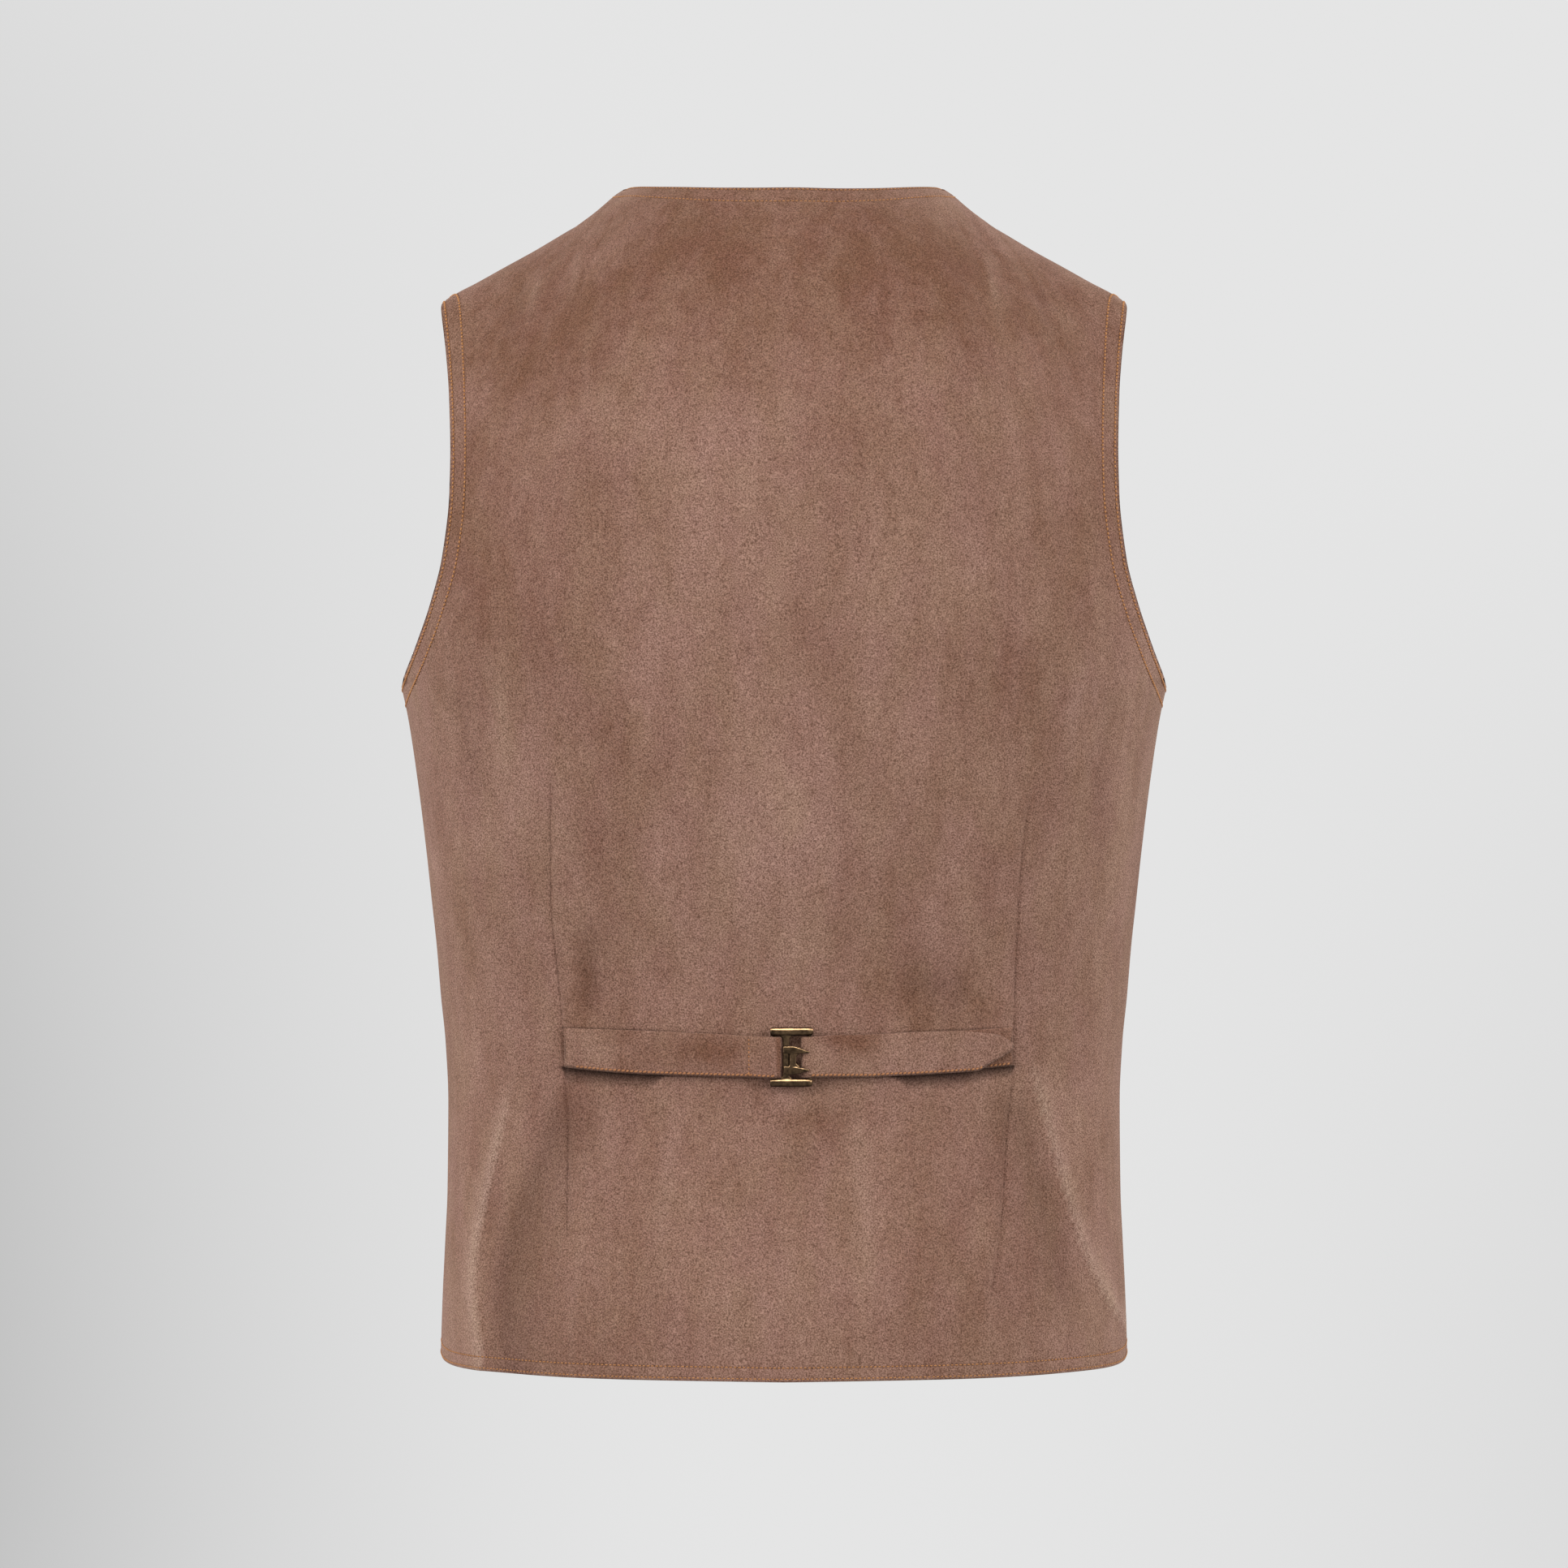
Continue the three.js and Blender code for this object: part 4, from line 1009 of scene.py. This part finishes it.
def selected(obj):
    bpy.ops.object.select_all(action="DESELECT")
    obj.select_set(True)
    bpy.context.view_layer.objects.active = obj
    return obj


def modify(obj, kind, settings):
    """Adds a modifier and applies it."""
    selected(obj)
    modifier = obj.modifiers.new(kind.lower(), kind)
    for key, value in settings.items():
        setattr(modifier, key, value)
    bpy.ops.object.modifier_apply(modifier=modifier.name)
    return obj


def pick_faces(mesh, axis):
    """Selects the faces that look along an axis, with their corners, and nothing else."""
    for face in mesh.polygons:
        face.select = face.normal[axis] > 0.9
    corners = {v for face in mesh.polygons if face.select for v in face.vertices}
    for vertex in mesh.vertices:
        vertex.select = vertex.index in corners
    for edge in mesh.edges:
        edge.select = corners.issuperset(edge.vertices)


def open_faces(axis):
    """Applies the new object's place and size, and opens it with its faces along an axis selected."""
    obj = bpy.context.object
    bpy.ops.object.transform_apply(location=True, rotation=True, scale=True)
    bpy.context.tool_settings.mesh_select_mode = (False, False, True)
    pick_faces(obj.data, axis)
    bpy.ops.object.mode_set(mode="EDIT")
    return obj


def close_rings(rings):
    """The same bar with rings at close steps, so that it keeps its shape when it is rounded."""
    rows = [rings[0]]
    for a, b in zip(rings, rings[1:]):
        steps = max(1, round((b[0] - a[0]) / RING_STEP))
        rows += [tuple(lerp(a[i], b[i], k / steps) for i in range(5)) for k in range(1, steps + 1)]
    return rows


def pulled_bar(rings):
    """A bar drawn out of a cube, end face by end face."""
    rings = close_rings(rings)
    (x0, y0, y1, z0, z1), (x1, *_) = rings[0], rings[1]
    place = ((x0 + x1) / 2000, (y0 + y1) / 2000, (z0 + z1) / 2000)
    size = ((x1 - x0) / 1000, (y1 - y0) / 1000, (z1 - z0) / 1000)
    bpy.ops.object.select_all(action="DESELECT")
    bpy.ops.mesh.primitive_cube_add(size=1, location=place, scale=size)
    obj = open_faces(0)
    for i, (old, new) in enumerate(zip(rings, rings[1:])):
        if i:
            run = (new[0] - old[0]) / 1000
            bpy.ops.mesh.extrude_region_move(TRANSFORM_OT_translate={"value": (run, 0, 0)})
        centre = (new[0] / 1000, (old[1] + old[2]) / 2000, (old[3] + old[4]) / 2000)
        grown = (1, (new[2] - new[1]) / (old[2] - old[1]), (new[4] - new[3]) / (old[4] - old[3]))
        bpy.ops.transform.resize(value=grown, center_override=centre)
        shift = ((new[1] + new[2] - old[1] - old[2]) / 2000, (new[3] + new[4] - old[3] - old[4]) / 2000)
        bpy.ops.transform.translate(value=(0, *shift))
    bpy.ops.object.mode_set(mode="OBJECT")
    return obj


def add_wear(obj):
    """Marks the raised edges of a casting, where handling keeps the metal bright."""
    mesh = obj.data
    points = np.array([v.co for v in mesh.vertices])
    normals = np.array([v.normal for v in mesh.vertices])
    total, count = np.zeros_like(points), np.zeros(len(points))
    ends = np.array([e.vertices for e in mesh.edges])
    for a, b in (ends.T, ends.T[::-1]):
        np.add.at(total, a, points[b])
        np.add.at(count, a, 1)
    raised = ((points - total / count[:, None]) * normals).sum(-1) * 1e5
    for _ in range(2):
        nearby = np.zeros_like(raised)
        for a, b in (ends.T, ends.T[::-1]):
            np.add.at(nearby, a, raised[b])
        raised = 0.5 * raised + 0.5 * nearby / count
    mesh.attributes.new("raised", "FLOAT", "POINT").data.foreach_set("value", raised.astype(np.float32))


def named(obj, name):
    obj.name = name
    obj.data.name = name
    return obj


def casting(name, groups, node, matrix):
    """Bars run together into one smooth casting, set at its place on the back. Each group is a table of bars
    and how they are rounded."""
    bars = [modify(pulled_bar(rings), *rounding) for table, rounding in groups for rings in table.values()]
    obj = selected(bars[0])
    for bar in bars[1:]:
        bar.select_set(True)
    bpy.ops.object.join()
    named(obj, name)
    modify(obj, "REMESH", {"mode": "VOXEL", "voxel_size": CASTING_VOXEL / 1000})
    modify(obj, "SMOOTH", {"factor": 0.5, "iterations": CASTING_ROUNDS})
    modify(obj, "DECIMATE", {"ratio": CASTING_KEPT})
    add_wear(obj)
    obj.data.transform(matrix)
    obj.data.shade_smooth()
    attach(obj, "root")
    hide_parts(node)
    return obj


def stand_on(side, x, z, out=0.0):
    """The frame standing on the cloth of one side: y up, z off the cloth."""
    spot, facing = place_on(side, np.array([x]), z, out)
    away = Vector(facing[0]).normalized()
    across = Vector((0, 0, 1)).cross(away).normalized()
    up = away.cross(across)
    matrix = Matrix((across, up, away)).transposed().to_4x4()
    matrix.translation = Vector(spot[0]) / 1000
    return matrix


buckle_at = stand_on(BACK, BUCKLE_X, BUCKLE_Z)
frame_bars = [(RAIL_RINGS, ROUND_BAR), (UPRIGHT_RINGS, ROUND_EDGES)]
buckle_frame = casting("buckle_casting", frame_bars, "buckle_frame", buckle_at)
buckle_prongs = casting("prong_casting", [(PRONG_RINGS, ROUND_EDGES)], "buckle_prongs", buckle_at)

# Buttons and their holes, on the centre line of the front
BUTTON_ZS = (-242, -311, -380, -449, -518)
BUTTON_X = 1e-4
BUTTON_LIFT = 0.35
BUTTON = {
    "radius": 7.5, "thick": 2.4, "rim": 1.5, "slope": 0.8, "dish": 0.6, "hole": 0.8, "hole_off": 1.45,
    "edge": 0.4,
}
BUTTON_THREAD = {"past": 1.3, "width": 1.15, "height": 0.9, "lift": 0.1}
BUTTONHOLE = {"start": 2.0, "end": 16.5, "half": 0.75, "pitch": 0.62}
BUTTONHOLE_STITCH = {"length": 1.5, "width": 0.7, "height": 0.4}


def button(name, z):
    """A turned disc with a raised rim, a shallow dish and four holes."""
    bpy.ops.object.select_all(action="DESELECT")
    bpy.ops.mesh.primitive_cylinder_add(
        vertices=48, radius=BUTTON["radius"] / 1000, depth=BUTTON["thick"] / 1000,
        location=(0, 0, BUTTON["thick"] / 2000),
    )
    obj = open_faces(2)
    bpy.ops.mesh.inset(thickness=BUTTON["rim"] / 1000)
    bpy.ops.mesh.inset(thickness=BUTTON["slope"] / 1000, depth=-BUTTON["dish"] / 1000)
    bpy.ops.object.mode_set(mode="OBJECT")
    modify(obj, "BEVEL", {"width": BUTTON["edge"] / 1000, "segments": 3, "angle_limit": 0.5})
    off = BUTTON["hole_off"] / 1000
    for x, y in ((off, off), (-off, off), (-off, -off), (off, -off)):
        bpy.ops.mesh.primitive_cylinder_add(
            vertices=20, radius=BUTTON["hole"] / 1000, depth=0.01, location=(x, y, 0),
        )
        hole = bpy.context.object
        modify(obj, "BOOLEAN", {"object": hole, "operation": "DIFFERENCE", "solver": "EXACT"})
        bpy.data.objects.remove(hole)
    for face in obj.data.polygons:
        face.use_smooth = abs(face.normal.z) < 0.999
    obj.data.transform(stand_on(FRONT, BUTTON_X, z, BUTTON_LIFT))
    return named(obj, name)


def button_threads(z):
    """Two thick threads across the holes of a button."""
    off = BUTTON["hole_off"]
    z_on = BUTTON["thick"] - BUTTON["dish"] + BUTTON_THREAD["lift"]
    size = (2 * off + BUTTON_THREAD["past"], BUTTON_THREAD["width"], BUTTON_THREAD["height"])
    matrix = stand_on(FRONT, BUTTON_X, z, BUTTON_LIFT)
    threads = []
    for y in (off, -off):
        shape = THREAD_POINTS * size + (0, y, z_on)
        threads.append([1000 * (matrix @ Vector(point / 1000)) for point in shape])
    return np.array(threads)


def buttonhole(z):
    """Close stitches on both sides of a slit."""
    x = np.linspace(BUTTONHOLE["start"], BUTTONHOLE["end"], 30)
    rows = []
    for side in (1, -1):
        line, facing = place_on(FRONT, x, z + side * BUTTONHOLE["half"], 0.02)
        rows.append(stitches(line, facing, math.pi / 2, BUTTONHOLE["pitch"], BUTTONHOLE_STITCH))
    return rows


buttons = []
hole_rows = []
for i, z in enumerate(BUTTON_ZS):
    disc = button(f"horn_button_{i + 1}", z)
    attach(disc, "root")
    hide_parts(f"button_{i + 1}")
    buttons.append(disc)
    hole_rows += [button_threads(z), *buttonhole(z)]
sewing.append(join_stitches("stitches_buttons", hole_rows))


# Materials

SUEDE_DARK = (0.198, 0.093, 0.0575, 1)
SUEDE_LIGHT = (0.385, 0.23, 0.174, 1)
# Colour of the painted highlight on fold crests; SUEDE_SHADE is the painted shade in the troughs
SUEDE_CREST_HIGHLIGHT = (0.5, 0.34, 0.26, 1)
SUEDE_SHADE = (0.12, 0.058, 0.04, 1)
SUEDE_SEAM = (0.07, 0.034, 0.024, 1)
# Colour of the painted shadow below and above the straps
SUEDE_PAINTED_SHADOW = (0.03, 0.014, 0.01, 1)
HUE_OLIVE = (1.0, 1.008, 0.972, 1)
HUE_ROSE = (1.0, 0.97, 1.0, 1)
GRAIN_DEPTH = (0.95, 1.05, 1.12)
# Tones of the nap that become the darkest and the lightest
TONE_SPAN = (0.285, 0.715)
STRAP_THREAD = ((0.3, 0.115, 0.045, 1), (0.66, 0.31, 0.14, 1))
PANEL_THREAD = ((0.29, 0.115, 0.04, 1), (0.76, 0.37, 0.15, 1))
TARNISH = ((0.04, 0.026, 0.016, 1), (0.135, 0.085, 0.047, 1))
# Painted shade for downward faces, then the colour of worn edges and of the painted highlight
BRASS_PAINTED_SHADE = (0.02, 0.011, 0.006, 1)
WORN_AND_HIGHLIT_BRASS = (0.95, 0.6, 0.31, 1)
HORN = ((0.03, 0.016, 0.009, 1), (0.16, 0.09, 0.05, 1))


def operator(kind, reflected=False):
    """An operator of Value, as one Math node."""
    def apply(self, other):
        pair = (other, self) if reflected else (self, other)
        return self.look.math(kind, *pair)
    return apply


class Value:
    """A socket whose arithmetic adds Math nodes to its look."""

    def __init__(self, look, socket):
        self.look = look
        self.socket = socket

    __add__ = operator("ADD")
    __radd__ = operator("ADD", True)
    __sub__ = operator("SUBTRACT")
    __rsub__ = operator("SUBTRACT", True)
    __mul__ = operator("MULTIPLY")
    __rmul__ = operator("MULTIPLY", True)
    __truediv__ = operator("DIVIDE")
    __rtruediv__ = operator("DIVIDE", True)

    def clamped(self):
        return self.look.add("ShaderNodeClamp", {}, {0: self})

    def bell(self, centre, half):
        """1 at the centre, falling to 0 a half width away on both sides."""
        away = self.look.math("ABSOLUTE", self - centre)
        return (1 - away / half).clamped()


class Look:
    """A material with one Principled shader."""

    def __init__(self, name, constants):
        self.material = bpy.data.materials.new(name)
        self.material.use_nodes = True
        self.tree = self.material.node_tree
        self.shader = self.tree.nodes["Principled BSDF"]
        for socket, value in constants.items():
            self.shader.inputs[socket].default_value = value

    def add(self, kind, settings, sockets, out=0):
        """A node of a kind, with its settings and the values or links of its sockets."""
        node = self.tree.nodes.new(kind)
        for key, value in settings.items():
            setattr(node, key, value)
        for key, value in sockets.items():
            if isinstance(value, Value):
                self.tree.links.new(value.socket, node.inputs[key])
            else:
                node.inputs[key].default_value = value
        return Value(self, node.outputs[out])

    def feed(self, socket, value):
        self.tree.links.new(value.socket, self.shader.inputs[socket])

    def math(self, operation, *values):
        return self.add("ShaderNodeMath", {"operation": operation}, dict(enumerate(values)))

    def place(self, scale=(1, 1, 1)):
        """Object coordinates in metres, scaled."""
        here = self.add("ShaderNodeTexCoord", {}, {}, "Object")
        return self.add("ShaderNodeMapping", {}, {"Vector": here, "Scale": scale})

    def part(self, vector, axis):
        """One of the three parts of a vector."""
        return self.add("ShaderNodeSeparateXYZ", {}, {0: vector}, axis)

    def noise(self, scale, detail=3.0, roughness=0.5, distortion=0.0):
        """Noise with features per metre given for each axis."""
        sockets = {
            "Vector": self.place(scale), "Scale": 1.0, "Detail": detail, "Roughness": roughness,
            "Distortion": distortion,
        }
        return self.add("ShaderNodeTexNoise", {}, sockets, "Fac")

    def spread(self, value, low, high):
        """A value stretched so that low becomes 0 and high becomes 1."""
        return self.add("ShaderNodeMapRange", {}, {0: value, 1: low, 2: high, 3: 0.0, 4: 1.0})

    def field(self, name):
        """A value that the mesh carries."""
        return self.add("ShaderNodeAttribute", {"attribute_name": name}, {}, "Fac")

    def between(self, share, first, second, blend="MIX"):
        """A colour between two colours, or the first multiplied by the second."""
        settings = {"data_type": "RGBA", "blend_type": blend}
        return self.add("ShaderNodeMix", settings, {"Factor": share, 6: first, 7: second}, 2)

    def bump(self, height, depth):
        """Bump of a height given in millimetres."""
        self.feed("Normal", self.add("ShaderNodeBump", {}, {"Height": height, "Distance": depth / 1000}))


def shade_back(look, base, clouds):
    """Painted highlight on the fold crests and painted shade in their troughs, painted shadow round the
    straps, and the dart lines over the back's nap.
    """
    # Painted highlight on the fold crests and painted shade in their troughs
    fold = look.field("painted_fold_shading")
    base = look.between((fold * 0.3).clamped(), base, SUEDE_CREST_HIGHLIGHT)
    base = look.between((fold * -0.3).clamped(), base, SUEDE_SHADE)
    # Painted shadow below each strap's lower edge, reaching as far as the table STRAP_SHADE gives, and a
    # thin painted shade line above its upper edge
    gap = look.field("gap")
    along = look.spread(gap, 0.2, 1)
    below = look.field("below")
    under = (1 - below / (gap + 0.01)).clamped() * look.spread(below, -1.5, -0.5) * along
    above = look.field("above").bell(0.4, 0.9) * along
    base = look.between((under * 0.92 + above * 0.45).clamped(), base, SUEDE_PAINTED_SHADOW)
    seam = look.field("dart").bell(0, 0.5) * look.spread(clouds, 0.38, 0.6)
    return look.between(seam * 0.5, base, SUEDE_SEAM)


def suede(name, rows_by_field, nap_and_shade=True, back=False):
    """Brown suede-finish cloth: a nap mottled in patches and faint upright streaks, a fine grain, and dark
    lines under the rows of stitches, each given by its distance from an edge and its half width."""
    look = Look(name, {
        "Roughness": 0.93, "Specular IOR Level": 0.12, "Sheen Weight": 0.16, "Sheen Roughness": 0.5,
        "Sheen Tint": (0.95, 0.74, 0.6, 1),
    })
    patches = look.noise((22, 22, 13), 3, 0.5, 0.5)
    clouds = look.noise((190, 190, 125), 3, 0.6, 0.2)
    streaks = look.noise((85, 85, 20), 3, 0.5)
    drift = look.noise((48, 48, 26), 2, 0.5)
    grain = look.noise((1500, 1500, 1400), 0.5, 0.5)
    nap = patches * 0.31 + clouds * 0.24 + streaks * 0.26 + 0.095
    # The mesh's field adds the nap's patches and painted shade
    if nap_and_shade:
        nap = nap + 0.1 * look.field("nap_and_shade")
    tone = look.spread(nap, *TONE_SPAN)
    base = look.between(tone, SUEDE_DARK, SUEDE_LIGHT)
    if back:
        base = shade_back(look, base, clouds)
    sewn = [look.field(field).bell(*row) for field, rows in rows_by_field.items() for row in rows]
    base = look.between((sum(sewn) * 0.5).clamped(), base, SUEDE_SEAM)
    tint = look.between(look.spread(drift, 0.36, 0.64), HUE_OLIVE, HUE_ROSE)
    speck = look.spread(grain, 0.25, 0.75) - 0.5
    flecks = {i: 1 + speck * depth for i, depth in enumerate(GRAIN_DEPTH)}
    fleck = look.add("ShaderNodeCombineColor", {}, flecks)
    for layer in (tint, fleck):
        base = look.between(1.0, base, layer, "MULTIPLY")
    look.feed("Base Color", base)
    look.feed("Roughness", 0.86 + tone * 0.1)
    look.bump(grain + clouds * 0.25, 0.42)
    return look.material


def thread(name, dark, light):
    look = Look(name, {"Roughness": 0.75, "Specular IOR Level": 0.25})
    twist = look.noise((1500, 1500, 1500), 2)
    look.feed("Base Color", look.between(twist, dark, light))
    look.bump(twist, 0.08)
    return look.material


def brass():
    """Old brass: tarnished, with painted shade where it looks down, worn bright on its raised edges, and a
    painted highlight band on the faces that look partly up.
    """
    look = Look("antique brass", {"Metallic": 1.0})
    cloud = look.noise((420, 420, 420), 4, 0.6)
    upward = look.part(look.add("ShaderNodeNewGeometry", {}, {}, "Normal"), 2)
    # Painted highlight band where the normal looks partly up, added to the wear of the raised edges
    painted_highlight = upward.bell(0.38, 0.36)
    wear_and_highlight = look.spread(look.field("raised") * 0.15 + painted_highlight + cloud * 1.1, 0.95, 1.6)
    tarnish = look.between(look.spread(cloud, 0.35, 0.65), *TARNISH)
    # Painted shade where the metal looks down
    shaded = look.between(look.spread(upward, -0.15, -0.75), tarnish, BRASS_PAINTED_SHADE)
    look.feed("Base Color", look.between(wear_and_highlight, shaded, WORN_AND_HIGHLIT_BRASS))
    look.feed("Roughness", 0.3 + cloud * 0.12)
    look.bump(cloud, 0.05)
    return look.material


def horn():
    look = Look("horn", {"Coat Weight": 0.1, "Coat Roughness": 0.15, "Specular IOR Level": 0.3})
    veins = look.noise((180, 180, 60), 4, 0.6, 1.2)
    look.feed("Base Color", look.between(veins, *HORN))
    look.feed("Roughness", 0.28 + veins * 0.2)
    look.bump(veins, 0.05)
    return look.material



panel_rows = {
    "hem": [(row, 0.6) for row in HEM_ROWS],
    "armhole": [(row, 0.5) for row in ARMHOLE_ROWS],
}
back_look = suede("suede back", {**panel_rows, "neck": [(row, 0.5) for row in NECK_ROWS]}, back=True)
front_look = suede("suede front", {**panel_rows, "closing": [(row, 0.5) for row in CLOSING_ROWS]}, nap_and_shade=False)
# The row at 0 is a painted shadow line along each strap's lower edge; the other darkens the cloth under its
# stitches
strap_look = suede("suede strap", {"strap": [(STRAP_ROW, 0.7), (0.0, 0.7)]})
strap_thread = thread("strap thread", *STRAP_THREAD)
panel_thread = thread("panel thread", *PANEL_THREAD)
brass_look = brass()
horn_look = horn()

# Spans of x with a row of stitches, and whether it is on the upper layer
left_rows = strap_stitches(LEFT_STRAP, [(4, 107, True)]) + strap_bar()
right_rows = strap_stitches(RIGHT_STRAP, [(-97, -13, True), (-111, -100, False)])
sewing.append(join_stitches("stitches_strap_left", left_rows))
sewing.append(join_stitches("stitches_strap_right", right_rows))

back.data.materials.append(back_look)
for piece in (front_left, front_right):
    piece.data.materials.append(front_look)
for piece in (strap_left, strap_right):
    piece.data.materials.append(strap_look)
for piece in sewing:
    piece.data.materials.append(strap_thread if "strap" in piece.name else panel_thread)
for piece in (buckle_frame, buckle_prongs):
    piece.data.materials.append(brass_look)
for piece in buttons:
    piece.data.materials.append(horn_look)

# Studio

def make_camera():
    camera = bpy.data.cameras.new("camera")
    camera.lens = CAMERA_LENS
    camera.sensor_width = 36
    camera.clip_end = 100
    obj = linked("camera", camera)
    obj.location = (0, CAMERA_AWAY, CAMERA_Z)
    obj.rotation_euler = (math.pi / 2, 0, math.pi)
    bpy.context.scene.camera = obj


FLOOR_Z = -1.6
FLOOR_RADIUS = 7.0
WALL_TOP = 5.0
WALL_BEND = 2.0
WALL_SIDES = 64
WALL_PALE = (0.783, 0.783, 0.783, 1)
WALL_SHADE = (0.283, 0.283, 0.283, 1)
# The light of the surroundings: two heights of the view, and how bright it is there
SKY_RAMP = (-0.8, 0.8, 0.34, 0.58)
SKY_STRENGTH = 0.93


def make_backdrop():
    """A round pale floor that turns up into a wall all round."""
    profile = [(0, 0)] + [(FLOOR_RADIUS * k / 6, 0) for k in range(1, 7)]
    for k in range(1, 9):
        a = math.pi / 2 * k / 8
        profile.append((FLOOR_RADIUS + WALL_BEND * math.sin(a), WALL_BEND * (1 - math.cos(a))))
    profile.append((FLOOR_RADIUS + WALL_BEND, WALL_TOP))
    turns = [2 * math.pi * k / WALL_SIDES for k in range(WALL_SIDES)]
    points = [(r * math.cos(a), r * math.sin(a), FLOOR_Z + z) for r, z in profile for a in turns]
    faces = []
    for j in range(len(profile) - 1):
        low, high = j * WALL_SIDES, (j + 1) * WALL_SIDES
        for k in range(WALL_SIDES):
            m = (k + 1) % WALL_SIDES
            faces.append((low + k, low + m, high + m, high + k))
    mesh = bpy.data.meshes.new("backdrop")
    mesh.from_pydata(points, [], faces)
    mesh.shade_smooth()
    obj = linked("backdrop", mesh)
    look = Look("backdrop", {
        "Base Color": (0, 0, 0, 1), "Roughness": 1.0, "Specular IOR Level": 0.0, "Emission Strength": 1.0,
    })
    # The backdrop glows by itself; painted shade darkens it towards +x and, less, towards -x, both more so
    # lower down
    place = look.place()
    side = look.part(place, 0)
    rise = look.part(place, 2) - CAMERA_Z
    left = look.math("MAXIMUM", side, 0.0)
    right = look.math("MINIMUM", side, 0.0)
    lower = look.math("MAXIMUM", 1 - 1.5 * rise, 0.0)
    share = left * left * (1 - 0.47 * rise) * 0.19 + right * right * lower * 0.028
    look.feed("Emission Color", look.between(share.clamped(), WALL_PALE, WALL_SHADE))
    mesh.materials.append(look.material)
    obj.visible_diffuse = False
    obj.visible_shadow = False


LIGHTS = [
    # name, place, size, watts
    ("key", (0.3, 3.0, 2.7), 1.2, 39),
    ("left", (3.2, 1.9, 0.3), 1.6, 55),
    ("right", (-3.2, 1.9, 0.3), 1.6, 52),
    ("front_key", (-0.3, -3.0, 2.7), 1.2, 36),
    ("front_left", (3.2, -1.9, 0.3), 1.6, 40),
    ("front_right", (-3.2, -1.9, 0.3), 1.6, 40),
]


def make_lights():
    aim = Vector((0, 0, -0.29))
    for name, place, size, watts in LIGHTS:
        light = bpy.data.lights.new(name, "AREA")
        light.energy = watts
        light.size = size
        obj = linked(name, light)
        obj.location = place
        obj.rotation_euler = (aim - Vector(place)).to_track_quat("-Z", "Y").to_euler()
    world = bpy.data.worlds.new("studio")
    world.use_nodes = True
    nodes, links = world.node_tree.nodes, world.node_tree.links
    sky = nodes["Background"]
    where = nodes.new("ShaderNodeTexCoord")
    split = nodes.new("ShaderNodeSeparateXYZ")
    shade = nodes.new("ShaderNodeMapRange")
    for socket, value in zip(shade.inputs[1:5], SKY_RAMP):
        socket.default_value = value
    links.new(where.outputs["Generated"], split.inputs[0])
    links.new(split.outputs[2], shade.inputs[0])
    links.new(shade.outputs[0], sky.inputs["Color"])
    sky.inputs["Strength"].default_value = SKY_STRENGTH
    bpy.context.scene.world = world


make_camera()
make_backdrop()
make_lights()
bpy.context.scene.view_settings.view_transform = "Standard"
